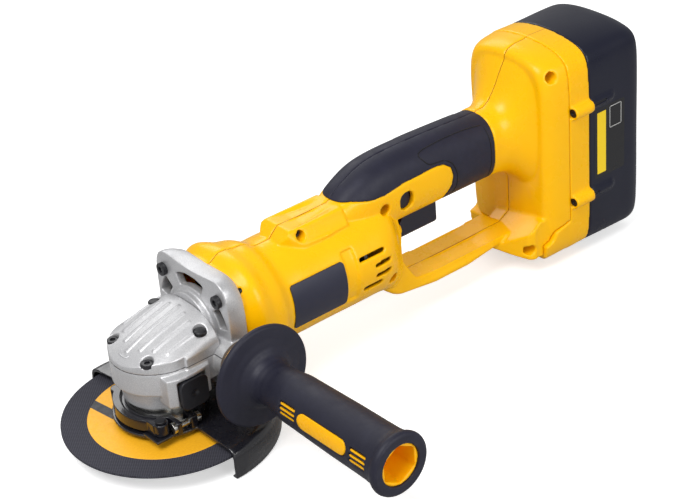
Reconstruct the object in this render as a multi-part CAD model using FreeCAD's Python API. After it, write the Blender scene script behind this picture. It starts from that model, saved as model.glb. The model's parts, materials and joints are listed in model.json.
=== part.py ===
import FreeCAD, Part
import math
import os
from FreeCAD import Vector

# Cordless angle grinder with a cast gear case at the front, a motor barrel, a grip with a
# hand loop below it, and a battery pack across the back. Millimetres. +X runs from the wheel
# to the battery, +Z up, and the side handle points to -Y. The origin is the lower tip of the
# spindle, on the spindle's axis.

# ---- driving dimensions ----------------------------------------------------------------
WHEEL_D = 125.0            # cutting wheel
WHEEL_T = 1.6
WHEEL_BORE_R = 11.1
WHEEL_TOP = 12.0           # height of the wheel's upper face over the spindle's tip
THREAD_R = 7.0             # M14 spindle nose
NOSE_LEN = 5.2             # free thread below the lock nut
FLANGE_R = 20.0            # inner and outer wheel flanges

GUARD_R = 67.0             # outside of the guard's skirt
GUARD_T = 2.0
GUARD_TOP = 17.0
GUARD_BOTTOM = -2.0
GUARD_FROM = -90.0         # degrees round the spindle, 0 towards the battery
GUARD_TO = 98.0
COLLAR_R = 22.5            # steel collar that the guard's band turns on
COLLAR_BOTTOM = 17.6
BAND_T = 2.4
BAND_TOP = 25.0

MOTOR_Z = 60.7             # motor axis over the spindle's tip
HEAD_R = 28.4              # gear case round the spindle
HEAD_SIDE_Y = 29.6         # flat sides of the gear case
HEAD_BOTTOM = 42.0
NECK_R = 23.6
NECK_BOTTOM = 29.6
JOINT_Z = 57.0             # split between gear case and cover
HEAD_WALL = 3.0
FLANGE_X0 = 28.0           # square motor flange of the gear case
FLANGE_X1 = 40.5
FLANGE_HALF = 35.3
FLANGE_RISE = 6.0          # how far the flange's top corners stand over its middle
FLANGE_PLATE = 5.0
FLANGE_SCREW = 26.6        # screw offset from the motor axis, along Y and along Z

RING_TEETH = 37
PINION_TEETH = 11
RING_PITCH_R = 23.0
TOOTH_FACE = 6.5

BARREL_R = 32.3
BULGE_R = 38.4
SHELL_T = 2.6
GRIP_HALF_W = 18.4
GRIP_BOTTOM = 69.2
GRIP_TOP = 116.5
RUBBER_T = 1.8
RUBBER_X1 = 254.0
BAR_HALF_W = 15.5
BAR_TOP = 27.0
BAR_BOTTOM = 20.6
LOOP_X0 = 172.5            # front of the hand loop's opening
LOOP_X1 = 281.0            # back of the opening
JOINT_X = 301.0            # tool housing against battery pack

PACK_X1 = 367.0
PACK_COVER_X1 = 319.0
PACK_HALF_W = 38.0
PACK_BOTTOM = 4.0
PACK_TOP = 150.0
PACK_WALL = 2.2
CELL_R = 12.5
CELL_LEN = 65.0

HANDLE_X = 29.5            # side handle's screw axis
HANDLE_Z = 51.6
HANDLE_BOSS_R = 11.5
HANDLE_BOSS_Y = 38.0
HANDLE_LEN = 141.0         # from the boss to the end of the handle
HANDLE_DISC_R = 31.5
HANDLE_STUD_R = 4.0        # M8
HANDLE_STUD_IN = 15.0

# ---- clearances ------------------------------------------------------------------------
RUN = 0.05                 # radial running fit
GAP = 0.3                  # between bodies that move past each other
SEAT = 0.02                # pressed or clamped seats

# ---- moving parts ----------------------------------------------------------------------
LOCK_TRAVEL = 3.6          # spindle-lock button
LOCK_SLOTS = 7             # slots round the gear's hub for the lock's pin
LOCK_SLOT_HALF = 2.9
LOCKOFF_TRAVEL = 4.0       # lock-off slider
TRIGGER_X0 = 181.5
TRIGGER_X1 = 210.5
TRIGGER_BOTTOM = 56.2
PACK_TRAVEL = 22.0         # slide that frees the pack's hooks

WHEEL_R = WHEEL_D / 2
UP = Vector(0, 0, 1)
ALONG_X = Vector(1, 0, 0)
ALONG_Y = Vector(0, 1, 0)
BIG = 400.0


# ---- small tools -----------------------------------------------------------------------
def cyl_x(r, x0, x1, y=0.0, z=MOTOR_Z):
    return Part.makeCylinder(r, x1 - x0, Vector(x0, y, z), ALONG_X)


def cyl_y(r, y0, y1, x, z):
    return Part.makeCylinder(r, y1 - y0, Vector(x, y0, z), ALONG_Y)


def cyl_z(r, z0, z1, x=0.0, y=0.0):
    return Part.makeCylinder(r, z1 - z0, Vector(x, y, z0), UP)


def ring_x(ro, ri, x0, x1, y=0.0, z=MOTOR_Z):
    return cyl_x(ro, x0, x1, y, z).cut(cyl_x(ri, x0 - 1, x1 + 1, y, z))


def ring_y(ro, ri, y0, y1, x, z):
    return cyl_y(ro, y0, y1, x, z).cut(cyl_y(ri, y0 - 1, y1 + 1, x, z))


def ring_z(ro, ri, z0, z1, x=0.0, y=0.0):
    return cyl_z(ro, z0, z1, x, y).cut(cyl_z(ri, z0 - 1, z1 + 1, x, y))


def box(x0, x1, y0, y1, z0, z1):
    return Part.makeBox(x1 - x0, y1 - y0, z1 - z0, Vector(x0, y0, z0))


def prism_y(points, y0, y1):
    """Closed XZ outline drawn out along Y."""
    wire = Part.makePolygon([Vector(x, y0, z) for x, z in points + points[:1]])
    return Part.Face(wire).extrude(Vector(0, y1 - y0, 0))


def prism_z(points, z0, z1):
    """Closed XY outline drawn out along Z."""
    wire = Part.makePolygon([Vector(x, y, z0) for x, y in points + points[:1]])
    return Part.Face(wire).extrude(Vector(0, 0, z1 - z0))


def section(x, half_w, z0, z1, power, crown=0.0):
    """Superellipse in the plane at x, between heights z0 and z1; the crown lowers its top corners."""
    mid = (z0 + z1) / 2
    half_h = (z1 - z0) / 2
    points = []
    for k in range(40):
        t = 2 * math.pi * k / 40
        c = math.cos(t)
        s = math.sin(t)
        y = half_w * math.copysign(abs(c) ** (2 / power), c)
        top = half_h - crown * (y / half_w) ** 2 if s > 0 else half_h
        z = top * math.copysign(abs(s) ** (2 / power), s)
        points.append(Vector(x, y, mid + z))
    curve = Part.BSplineCurve()
    curve.interpolate(points, PeriodicFlag=True)
    return Part.Wire(curve.toShape())


def loft(sections, inset=0.0):
    """Solid through sections (x, half width, bottom, top, power, crown), shrunk by an inset."""
    wires = [section(x, w - inset, z0 + inset, z1 - inset, *rest) for x, w, z0, z1, *rest in sections]
    return Part.makeLoft(wires, True, False, False, 3)


def fuse(first, *others):
    body = first
    for other in others:
        body = body.fuse(other)
    return body.removeSplitter()


def cut_all(body, tools):
    for tool in tools:
        body = body.cut(tool)
    return body


def common_all(first, *others):
    for other in others:
        first = first.common(other)
    return first


def long_edges(shape, direction, least):
    """Straight edges at least this long that run along a direction."""
    found = []
    for edge in shape.Edges:
        if edge.Length < least or edge.Curve.TypeId != "Part::GeomLine":
            continue
        if abs(edge.tangentAt(edge.FirstParameter).dot(direction)) > 0.999:
            found.append(edge)
    return found


def coil(r, wire_r, turns, x, y, z, pitch, axis):
    """A compression spring as separate turns."""
    turns_made = []
    for k in range(turns):
        place = Vector(x, y, z) + axis * (wire_r + k * pitch)
        turns_made.append(Part.makeTorus(r, wire_r, place, axis))
    return Part.makeCompound(turns_made)


def save(name, *shapes):
    solids = []
    for shape in shapes:
        solids.extend(shape.Solids)
    whole = solids[0] if len(solids) == 1 else Part.makeCompound(solids)
    whole.exportStep("parts/" + name + ".step")


def torx_screw(head_r, head_h, shank_r, length, place, axis):
    """Cheese head with a socket; place is the top of the head, axis points down the shank."""
    head = Part.makeCylinder(head_r, head_h, place, axis)
    shank = Part.makeCylinder(shank_r, length, place + axis * head_h, axis)
    socket = Part.makeCylinder(head_r * 0.45, head_h * 0.6, place, axis)
    return head.fuse(shank).cut(socket)


# ---- wheel, spindle and gears ----------------------------------------------------------
WHEEL_BOTTOM = WHEEL_TOP - WHEEL_T
NUT_BOTTOM = NOSE_LEN
SEAT_TOP = WHEEL_TOP + 5.0           # top of the inner flange
BEARING_Z0 = NECK_BOTTOM - 2.0       # lower spindle bearing
BEARING_Z1 = BEARING_Z0 + 11.0
BEARING_R = 17.5
SPINDLE_R = 7.5
HUB_Z0 = 39.5                        # hub of the ring gear
HUB_Z1 = 45.5
HUB_R = 14.0
LOCK_Z = (HUB_Z0 + HUB_Z1) / 2
UPPER_R = 4.0                        # spindle's upper journal and bearing
UPPER_BEARING_R = 7.0
UPPER_Z0 = 60.5
UPPER_Z1 = 66.5
PITCH_TAN = PINION_TEETH / RING_TEETH
PINION_PITCH_R = RING_PITCH_R * PITCH_TAN
MODULE = 2 * RING_PITCH_R / RING_TEETH
DEDENDUM = 1.15 * MODULE
ADDENDUM = 0.75 * MODULE
TOOTH_HALF = 0.17 * math.pi * MODULE  # thin teeth leave room for backlash
INNER_SCALE = (RING_PITCH_R - TOOTH_FACE) / RING_PITCH_R


def make_wheel():
    save("cutting_wheel", ring_z(WHEEL_R, WHEEL_BORE_R, WHEEL_BOTTOM, WHEEL_TOP))


def make_backing_flange():
    plate = cyl_z(FLANGE_R, WHEEL_TOP, WHEEL_TOP + 2.5)
    hub = cyl_z(13.0, WHEEL_TOP, SEAT_TOP)
    pilot = cyl_z(WHEEL_BORE_R - RUN, WHEEL_TOP - 1.2, WHEEL_TOP)
    body = fuse(plate, hub, pilot)
    save("backing_flange", body.cut(cyl_z(THREAD_R + SEAT, 0, BIG)))


def make_lock_nut():
    body = fuse(cyl_z(FLANGE_R, WHEEL_BOTTOM - 3.0, WHEEL_BOTTOM), cyl_z(14.0, NUT_BOTTOM, WHEEL_BOTTOM))
    body = body.cut(cyl_z(THREAD_R + SEAT, 0, BIG))
    for k in range(4):
        a = math.radians(45 + 90 * k)
        hole = cyl_z(2.2, NUT_BOTTOM - 1, NUT_BOTTOM + 3.0, 10.8 * math.cos(a), 10.8 * math.sin(a))
        body = body.cut(hole)
    save("lock_nut", body)


def make_spindle():
    nose = cyl_z(THREAD_R, 0, NOSE_LEN)
    relief = cyl_z(THREAD_R - 0.5, 0, NOSE_LEN + 1.0)
    thread = cyl_z(THREAD_R, NOSE_LEN + 1.0, SEAT_TOP)
    collar = cyl_z(10.0, SEAT_TOP, BEARING_Z0 - 1.0)
    journal = cyl_z(SPINDLE_R, SEAT_TOP, HUB_Z0 + 6.0)
    stem = cyl_z(6.0, HUB_Z0, UPPER_Z0 - 0.5)
    tip = cyl_z(UPPER_R, HUB_Z1, UPPER_Z1 - 0.5)
    save("spindle", fuse(nose, relief, thread, collar, journal, stem, tip))


def wedge(profile, near):
    """Ruled tooth from an outer outline to the same outline scaled towards the gears' apex."""
    apex = Vector(0, 0, MOTOR_Z)
    far = [apex + (p - apex) * near for p in profile]
    outer = Part.makePolygon(profile + profile[:1])
    inner = Part.makePolygon(far + far[:1])
    return Part.makeLoft([outer, inner], True, True)


def make_ring_gear():
    pitch_z = MOTOR_Z - PINION_PITCH_R
    root_z = pitch_z - DEDENDUM
    inner_r = RING_PITCH_R * INNER_SCALE
    root_r = inner_r - 0.8               # the root cone runs on past the teeth
    inner_root_z = MOTOR_Z - (PINION_PITCH_R + DEDENDUM) * root_r / RING_PITCH_R
    outline = [
        (SPINDLE_R + SEAT, HUB_Z0),
        (HUB_R, HUB_Z0),
        (HUB_R, HUB_Z1),
        (RING_PITCH_R + 0.6, HUB_Z1),
        (RING_PITCH_R + 0.6, root_z),
        (root_r, inner_root_z),
        (root_r - 1.5, inner_root_z - 1.5),
        (6.0 + SEAT, inner_root_z - 1.5),
        (6.0 + SEAT, HUB_Z0 + 6.0 + GAP),
        (SPINDLE_R + SEAT, HUB_Z0 + 6.0 + GAP),
    ]
    wire = Part.makePolygon([Vector(r, 0, z) for r, z in outline + outline[:1]])
    body = Part.Face(wire).revolve(Vector(0, 0, 0), UP, 360)
    top_z = pitch_z + ADDENDUM
    low_z = root_z - 0.4
    tooth = wedge([
        Vector(RING_PITCH_R, -TOOTH_HALF * 1.5, low_z),
        Vector(RING_PITCH_R, TOOTH_HALF * 1.5, low_z),
        Vector(RING_PITCH_R, TOOTH_HALF * 0.6, top_z),
        Vector(RING_PITCH_R, -TOOTH_HALF * 0.6, top_z),
    ], INNER_SCALE)
    teeth = []
    for k in range(RING_TEETH):
        copy = tooth.copy()
        copy.rotate(Vector(0, 0, 0), UP, (k + 0.5) * 360 / RING_TEETH)
        teeth.append(copy)
    body = body.fuse(teeth)
    for k in range(LOCK_SLOTS):
        slot = box(-LOCK_SLOT_HALF, LOCK_SLOT_HALF, -HUB_R - 1, -HUB_R + 4.5, LOCK_Z - 2.4, LOCK_Z + 2.4)
        slot.rotate(Vector(0, 0, 0), UP, 360.0 * k / LOCK_SLOTS)
        body = body.cut(slot)
    save("ring_gear", body)


def make_pinion():
    root_r = PINION_PITCH_R - DEDENDUM
    near_x = RING_PITCH_R * INNER_SCALE
    core = Part.makeCone(root_r * INNER_SCALE, root_r, TOOTH_FACE, Vector(near_x, 0, MOTOR_Z), ALONG_X)
    hub = cyl_x(root_r, RING_PITCH_R, 26.0)
    tip_r = PINION_PITCH_R + ADDENDUM
    foot_r = root_r - 0.4
    x = RING_PITCH_R
    tooth = wedge([
        Vector(x, -TOOTH_HALF * 1.5, MOTOR_Z - foot_r),
        Vector(x, TOOTH_HALF * 1.5, MOTOR_Z - foot_r),
        Vector(x, TOOTH_HALF * 0.6, MOTOR_Z - tip_r),
        Vector(x, -TOOTH_HALF * 0.6, MOTOR_Z - tip_r),
    ], INNER_SCALE)
    teeth = []
    for k in range(PINION_TEETH):
        copy = tooth.copy()
        copy.rotate(Vector(0, 0, MOTOR_Z), ALONG_X, k * 360 / PINION_TEETH)
        teeth.append(copy)
    body = core.fuse([hub] + teeth)
    save("pinion", body.cut(cyl_x(2.5 + SEAT, near_x - 1, 27.0)))


def bearing(ro, ri, place, length, axis):
    """Ball bearing as its two rings and the shielded ball row between them."""
    mid = (ro + ri) / 2
    outer = Part.makeCylinder(ro, length, place, axis).cut(
        Part.makeCylinder(mid + 1.2, length, place, axis))
    inner = Part.makeCylinder(mid - 1.2, length, place, axis).cut(
        Part.makeCylinder(ri, length, place, axis))
    shield_place = place + axis * 0.6
    shield = Part.makeCylinder(mid + 1.2, length - 1.2, shield_place, axis).cut(
        Part.makeCylinder(mid - 1.2, length - 1.2, shield_place, axis))
    return outer.fuse([inner, shield])


def make_spindle_bearings():
    place = Vector(0, 0, BEARING_Z0)
    save("spindle_lower_bearing", bearing(BEARING_R, SPINDLE_R + RUN, place, 11.0, UP))
    place = Vector(0, 0, UPPER_Z0)
    upper = bearing(UPPER_BEARING_R, UPPER_R + RUN, place, UPPER_Z1 - UPPER_Z0, UP)
    save("spindle_upper_bearing", upper)


# ---- gear case -------------------------------------------------------------------------
PLUG_X = 15.8                        # rear cover screws
PLUG_Y = 22.6
FRONT_SCREW_X = -18.3
FRONT_SCREW_Y = 17.4
COVER_X1 = 23.6
CAVITY_R = HEAD_R - HEAD_WALL


def flange_profile(x, inset, power):
    half = FLANGE_HALF - inset
    return (x, half, MOTOR_Z - half, MOTOR_Z + half + 1.2, power, -FLANGE_RISE)


def head_outline(r, side, x1):
    """Half-round front and straight sides, as a plan solid from z 0 to 200."""
    round_part = cyl_z(r, 0, 200)
    straight = box(0, x1, -side, side, 0, 200)
    return round_part.fuse(straight)


def cover_roof(inset):
    """Crowned roof that rises from the nose to the motor flange."""
    heights = [
        (-30.0, 2.0), (-25.0, 4.8), (-20.0, 7.4), (-8.0, 12.4), (5.0, 16.6), (15.0, 19.4), (26.0, 21.6),
    ]
    width = HEAD_SIDE_Y + 0.8
    rows = []
    for x, h in heights:
        rows.append((x, width, JOINT_Z - h, JOINT_Z + h, 2.4))
    return loft(rows, inset)


def lock_pad():
    """Flat pad and its two legs, which carry the spindle-lock button on the right side."""
    pad = box(-15.5, 13.5, -33.0, -20.0, 36.5, JOINT_Z - 2.0)
    return pad.common(cyl_z(38.0, 0, 100, 0, 4))


FLANGE_WINDOWS = [                   # inner and outer radius, from and to in degrees from the left side
    (26.0, 34.0, 16, 40),
    (24.2, 32.2, 62, 112),
    (26.0, 34.0, 140, 164),
    (22.5, 30.0, -50, -18),
    (22.5, 30.0, -162, -130),
]


def flange_window(r0, r1, from_deg, to_deg):
    """Sector-shaped air outlet through the flange's plate."""
    sector = ring_x(r1, r0, FLANGE_X0 - 4, FLANGE_X1 + 2)
    points = [(0.0, MOTOR_Z)]
    for k in range(5):
        a = math.radians(from_deg + (to_deg - from_deg) * k / 4)
        points.append((80 * math.cos(a), MOTOR_Z + 80 * math.sin(a)))
    wire = Part.makePolygon([Vector(FLANGE_X0 - 4, y, z) for y, z in points + points[:1]])
    return sector.common(Part.Face(wire).extrude(Vector(30, 0, 0)))


def make_gear_case():
    head = head_outline(HEAD_R, HEAD_SIDE_Y, FLANGE_X0).common(box(-60, 60, -60, 60, HEAD_BOTTOM, JOINT_Z))
    neck = cyl_z(NECK_R, NECK_BOTTOM, HEAD_BOTTOM + 1)
    under = prism_y([(0, NECK_BOTTOM + 4), (FLANGE_X0, NECK_BOTTOM + 6), (FLANGE_X0, 50), (0, 50)], -20, 20)
    arch = cyl_x(21.4, COVER_X1 + 0.3, FLANGE_X0 + 1)
    shoulder = box(COVER_X1 + 0.3, FLANGE_X0 + 1, -27.0, 27.0, JOINT_Z - 8, MOTOR_Z)
    flange = loft([
        flange_profile(FLANGE_X0, 0.0, 5.0),
        flange_profile(FLANGE_X0 + FLANGE_PLATE, 0.0, 4.8),
        flange_profile(FLANGE_X1, 0.7, 3.4),
    ])
    body = fuse(head, neck, under, arch, shoulder, flange, lock_pad())
    for side in (-1, 1):
        y0 = -HANDLE_BOSS_Y if side < 0 else 20.0
        y1 = -20.0 if side < 0 else HANDLE_BOSS_Y
        boss = cyl_y(HANDLE_BOSS_R, y0, y1, HANDLE_X, HANDLE_Z)
        body = body.fuse(boss.common(box(0, FLANGE_X1, -60, 60, 0, 90)))
    chamber = loft([
        flange_profile(FLANGE_X0 + FLANGE_PLATE, 4.0, 3.0),
        flange_profile(FLANGE_X1 + 1, 4.0, 3.0),
    ])
    chamber = chamber.cut(cyl_x(19.0, FLANGE_X0, FLANGE_X0 + 9.5))
    body = body.cut(chamber)
    for side in (-1, 1):
        y0 = min(side * 20.0, side * 34.0)
        body = body.fuse(ring_y(8.0, 1.0, y0, y0 + 14.0, HANDLE_X, HANDLE_Z))
    body = body.cut(cyl_z(CAVITY_R, HUB_Z0 - GAP, JOINT_Z + 1))
    body = body.cut(cyl_z(BEARING_R + SEAT, BEARING_Z0 - 5, BEARING_Z1))
    body = body.cut(cyl_z(BEARING_R - 2.5, BEARING_Z1 - 1, HUB_Z0))
    body = body.cut(cyl_x(13.5, 0, FLANGE_X0 - 1.5))
    body = body.cut(box(0, COVER_X1 + 0.3, -13.5, 13.5, MOTOR_Z - 8, 90))
    body = body.cut(cyl_x(15.0 + SEAT, FLANGE_X0 - 1.6, FLANGE_X0 + 10))
    for window in FLANGE_WINDOWS:
        body = body.cut(flange_window(*window))
    for sy in (-1, 1):
        for sz in (-1, 1):
            y = sy * FLANGE_SCREW
            z = MOTOR_Z + sz * FLANGE_SCREW
            body = body.fuse(cyl_x(4.6, FLANGE_X0, FLANGE_X1, y, z))
            body = body.cut(cyl_x(2.0, FLANGE_X0 - 5, FLANGE_X1 + 5, y, z))
    for side in (-1, 1):
        y0 = -HANDLE_BOSS_Y - 1 if side < 0 else HANDLE_BOSS_Y - HANDLE_STUD_IN - 1.0
        y1 = y0 + HANDLE_STUD_IN + 2.0
        body = body.cut(cyl_y(HANDLE_STUD_R + RUN, y0, y1, HANDLE_X, HANDLE_Z))
    for x, y in cover_screw_places():
        body = body.cut(cyl_z(1.7, HEAD_BOTTOM + 3, JOINT_Z + 1, x, y))
    body = body.cut(lock_guide(GAP))
    save("gear_case", body)


def lock_guide(clear):
    """Space of the spindle-lock button, its pin and its spring, all along Y."""
    floor = -33.0 + 1.4 + LOCK_TRAVEL + clear
    head = box(-9.5 - clear, 9.5 + clear, -60, floor, LOCK_Z - 9.5 - clear, LOCK_Z + 9.5 + clear)
    pin = cyl_y(2.0 + RUN, -40, 0, 0, LOCK_Z)
    pocket = cyl_y(4.2, -33.0, -33.0 + 7.5, 0, LOCK_Z)
    return fuse(head, pin, pocket)


def cover_screw_places():
    places = []
    for side in (-1, 1):
        places.append((FRONT_SCREW_X, side * FRONT_SCREW_Y))
        places.append((PLUG_X, side * PLUG_Y))
    return places


def make_gear_cover():
    plan = head_outline(HEAD_R, HEAD_SIDE_Y, COVER_X1)
    above = box(-60, COVER_X1, -60, 60, JOINT_Z, 120)
    outer = common_all(plan, cover_roof(0.0), above)
    inner_plan = cyl_z(CAVITY_R, 0, 200).fuse(box(0, COVER_X1 - HEAD_WALL, -18.5, 18.5, 0, 200))
    inner = inner_plan.common(cover_roof(HEAD_WALL)).common(box(-60, 60, -60, 60, JOINT_Z - 1, 120))
    body = outer.cut(inner)
    body = body.fuse(cyl_z(UPPER_BEARING_R + 3.0, UPPER_Z0 - 1.0, 90).common(outer))
    for x, y in cover_screw_places():
        body = body.fuse(cyl_z(4.8, JOINT_Z, 100, x, y).common(outer))
    for y in (-22.5, -15.0, -7.5, 0.0, 7.5, 15.0, 22.5):
        x0 = -21.0 + abs(y) * 0.6
        x1 = 18.5 - abs(y) * 0.25
        rib = box(x0, x1, y - 0.8, y + 0.8, JOINT_Z, 120)
        body = body.fuse(rib.common(cover_roof(-0.6)).common(above).cut(cover_roof(0.8)))
    body = body.cut(cyl_z(UPPER_BEARING_R + SEAT, UPPER_Z0, UPPER_Z1))
    body = body.cut(cyl_z(UPPER_BEARING_R - 0.6, UPPER_Z0 - 3, UPPER_Z0 + 1))
    for x, y in cover_screw_places():
        seat = 61.0 if x < 0 else 69.0
        body = body.cut(cyl_z(3.9, seat, 120, x, y))
        body = body.cut(cyl_z(2.0, JOINT_Z - 1, seat + 1, x, y))
    body = body.cut(cyl_x(9.5, 5, COVER_X1 + 1))
    body = body.cut(box(5, COVER_X1 + 1, -9.5, 9.5, JOINT_Z - 1, MOTOR_Z))
    for y in (-60.0, 20.0):
        body = body.cut(cyl_y(HANDLE_BOSS_R + SEAT, y, y + 40.0, HANDLE_X, HANDLE_Z))
    save("gear_cover", body)


def make_cover_screws():
    screws = []
    for x, y in cover_screw_places():
        top = 61.0 + 2.6 if x < 0 else 69.0 + 2.6
        screws.append(torx_screw(3.5, 2.6, 1.6, top - 2.6 - 47.0, Vector(x, y, top), Vector(0, 0, -1)))
    save("gear_cover_screws", *screws)


def make_case_screws():
    screws = []
    for sy in (-1, 1):
        for sz in (-1, 1):
            place = Vector(FLANGE_X0 - 2.8, sy * FLANGE_SCREW, MOTOR_Z + sz * FLANGE_SCREW)
            screws.append(torx_screw(4.0, 2.8, 1.7, 25.0, place, ALONG_X))
    save("gear_case_screws", *screws)


def make_bearing_cap():
    collar = ring_z(COLLAR_R, 11.0, COLLAR_BOTTOM, NECK_BOTTOM)
    spigot = ring_z(BEARING_R - SEAT, 15.0, BEARING_Z0 - 4.0, BEARING_Z0 - SEAT)
    body = collar.cut(cyl_z(BEARING_R - 0.5, BEARING_Z0 - 4.0, NECK_BOTTOM + 1)).fuse(spigot)
    body = body.cut(cyl_z(BEARING_R + GAP, BEARING_Z0 - SEAT, NECK_BOTTOM + 1))
    save("bearing_cap", body)


def make_spindle_lock():
    head = box(-9.5, 9.5, -35.0, -33.0 + 1.4, LOCK_Z - 9.5, LOCK_Z + 9.5)
    head = head.makeFillet(4.5, long_edges(head, ALONG_Y, 1.0))
    dimple = Part.makeSphere(4.0, Vector(0, -38.2, LOCK_Z))
    head = head.cut(dimple)
    save("spindle_lock_button", head.cut(cyl_y(2.0 + SEAT, -34.0, -20, 0, LOCK_Z)))
    pin_tip = -HUB_R - 0.5
    save("spindle_lock_pin", cyl_y(2.0, -34.0, pin_tip, 0, LOCK_Z))
    spring = coil(3.0, 0.4, 5, 0, -33.0 + 1.4 + 0.05, LOCK_Z, 1.2, ALONG_Y)
    save("spindle_lock_spring", spring)


# ---- guard -----------------------------------------------------------------------------
def sector_prism(from_deg, to_deg, reach, z0, z1):
    points = [(0.0, 0.0)]
    steps = 12
    for k in range(steps + 1):
        a = math.radians(from_deg + (to_deg - from_deg) * k / steps)
        points.append((reach * math.cos(a), reach * math.sin(a)))
    return prism_z(points, z0, z1)


def make_guard():
    outline = [
        (COLLAR_R + RUN, GUARD_TOP - GUARD_T),
        (COLLAR_R + RUN, GUARD_TOP),
        (GUARD_R - 5.0, GUARD_TOP),
        (GUARD_R - 1.5, GUARD_TOP - 1.5),
        (GUARD_R, GUARD_TOP - 5.0),
        (GUARD_R, GUARD_BOTTOM),
        (GUARD_R - 4.0, GUARD_BOTTOM),
        (GUARD_R - 4.0, GUARD_BOTTOM + 1.2),
        (GUARD_R - GUARD_T, GUARD_BOTTOM + 2.4),
        (GUARD_R - GUARD_T, GUARD_TOP - 5.4),
        (GUARD_R - GUARD_T - 1.2, GUARD_TOP - 3.0),
        (GUARD_R - 5.4, GUARD_TOP - GUARD_T),
    ]
    wire = Part.makePolygon([Vector(r, 0, z) for r, z in outline + outline[:1]])
    shell = Part.Face(wire).revolve(Vector(0, 0, 0), UP, 360)
    half = sector_prism(GUARD_FROM, GUARD_TO, 3 * GUARD_R, GUARD_BOTTOM - 5, GUARD_TOP + 5)
    disc = ring_z(COLLAR_R + 9.0, COLLAR_R + RUN, GUARD_TOP - GUARD_T, GUARD_TOP)
    save("wheel_guard", shell.common(half).fuse(disc))


BAND_R = COLLAR_R + RUN + BAND_T
BAND_GAP_DEG = -124.0                # split of the band, at the front right
LEVER_PIN = (-19.5, -24.5)
LEVER_Z0 = 19.0
LEVER_Z1 = 26.5


def make_guard_band():
    band = ring_z(BAND_R, COLLAR_R + RUN, GUARD_TOP, BAND_TOP)
    lug_a = box(-27.0, -15.5, -30.5, -16.0, GUARD_TOP, LEVER_Z0 - GAP)
    lug_b = box(-12.4, -9.4, -31.5, -20.0, GUARD_TOP, BAND_TOP)
    lug_c = box(-3.0, 1.5, -31.5, -20.0, GUARD_TOP, BAND_TOP)
    body = fuse(band, lug_a, lug_b, lug_c)
    body = body.cut(cyl_z(COLLAR_R + RUN, 0, BIG))
    split = box(-9.4, -3.0, -40, -20.5, GUARD_TOP + 0.3, BAND_TOP + 1)
    body = body.cut(split)
    body = body.cut(cyl_x(2.0 + RUN, -15, 5, -28.2, 21.2))
    body = body.cut(cyl_z(2.0 + RUN, 0, LEVER_Z0, *LEVER_PIN))
    save("guard_band", body)
    pin = cyl_z(2.0, GUARD_TOP + 0.2, LEVER_Z1 + 0.5, *LEVER_PIN)
    save("guard_lever_pin", pin.fuse(cyl_z(3.2, LEVER_Z1 + GAP, LEVER_Z1 + 1.6, *LEVER_PIN)))
    bolt = cyl_x(2.0, -13.8, 4.5, -28.2, 21.2)
    save("guard_clamp_bolt", bolt.fuse(cyl_x(3.4, -14.8, -12.4, -28.2, 21.2)))
    nut = cyl_x(3.0, 1.5 + SEAT, 4.4, -28.2, 21.2)
    save("guard_clamp_nut", nut.cut(cyl_x(2.0 + SEAT, 0, 6, -28.2, 21.2)))


def make_guard_lever():
    arc = ring_z(BAND_R + 5.2, BAND_R + 0.6, LEVER_Z0, LEVER_Z1)
    arc = arc.common(sector_prism(128, 228, 90, 0, 60))
    eye = cyl_z(4.4, LEVER_Z0, LEVER_Z1, *LEVER_PIN)
    thumb = cyl_z(3.6, LEVER_Z0, LEVER_Z1, -17.6, 23.4)
    bridge = box(-24.5, -18.5, -24.0, -17.5, LEVER_Z0, LEVER_Z1)
    body = fuse(arc, eye, thumb, bridge).cut(cyl_z(BAND_R + 0.6, 0, BIG))
    save("guard_lever", body.cut(cyl_z(2.0 + RUN, 0, BIG, *LEVER_PIN)))


# ---- motor -----------------------------------------------------------------------------
CAN_R = BARREL_R - SHELL_T - GAP
CAN_X0 = 67.0
CAN_X1 = 112.0
CORE_R = 19.6
MAGNET_R = 20.3
SHAFT_R = 5.0
REAR_JOURNAL_R = 4.0
REAR_BEARING_R = 11.0
REAR_BEARING_X0 = 154.0
REAR_BEARING_X1 = 161.0
FAN_R = 31.0


def make_armature():
    shaft = fuse(cyl_x(2.5, 15.5, 27.0), cyl_x(SHAFT_R, 26.2, 66.0), cyl_x(6.0, 66.0, 150.0),
                 cyl_x(REAR_JOURNAL_R, 150.0, REAR_BEARING_X1 + 0.5))
    save("armature_shaft", shaft)
    core = ring_x(CORE_R, 6.0 + SEAT, 71.0, 107.0)
    for k in range(12):
        slot = box(70, 108, -1.3, 1.3, MOTOR_Z + 11.0, MOTOR_Z + CORE_R - 2.2)
        mouth = box(70, 108, -0.7, 0.7, MOTOR_Z + 11.0, MOTOR_Z + CORE_R + 2)
        cutter = slot.fuse(mouth)
        cutter.rotate(Vector(0, 0, MOTOR_Z), ALONG_X, 30 * k)
        core = core.cut(cutter)
    save("armature_core", core)
    front = ring_x(16.5, 8.0, 66.5, 71.0).fuse(ring_x(9.0, 6.0 + SEAT, 67.5, 71.0))
    rear = ring_x(16.5, 8.0, 107.0, 111.5).fuse(ring_x(9.0, 6.0 + SEAT, 107.0, 110.5))
    save("armature_windings", front, rear)
    commutator = ring_x(12.0, 6.0 + SEAT, 117.0, 134.0)
    for k in range(24):
        groove = box(116.5, 133.0, -0.25, 0.25, MOTOR_Z + 10.8, MOTOR_Z + 14)
        groove.rotate(Vector(0, 0, MOTOR_Z), ALONG_X, 15 * k)
        commutator = commutator.cut(groove)
    save("commutator", commutator)


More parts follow.
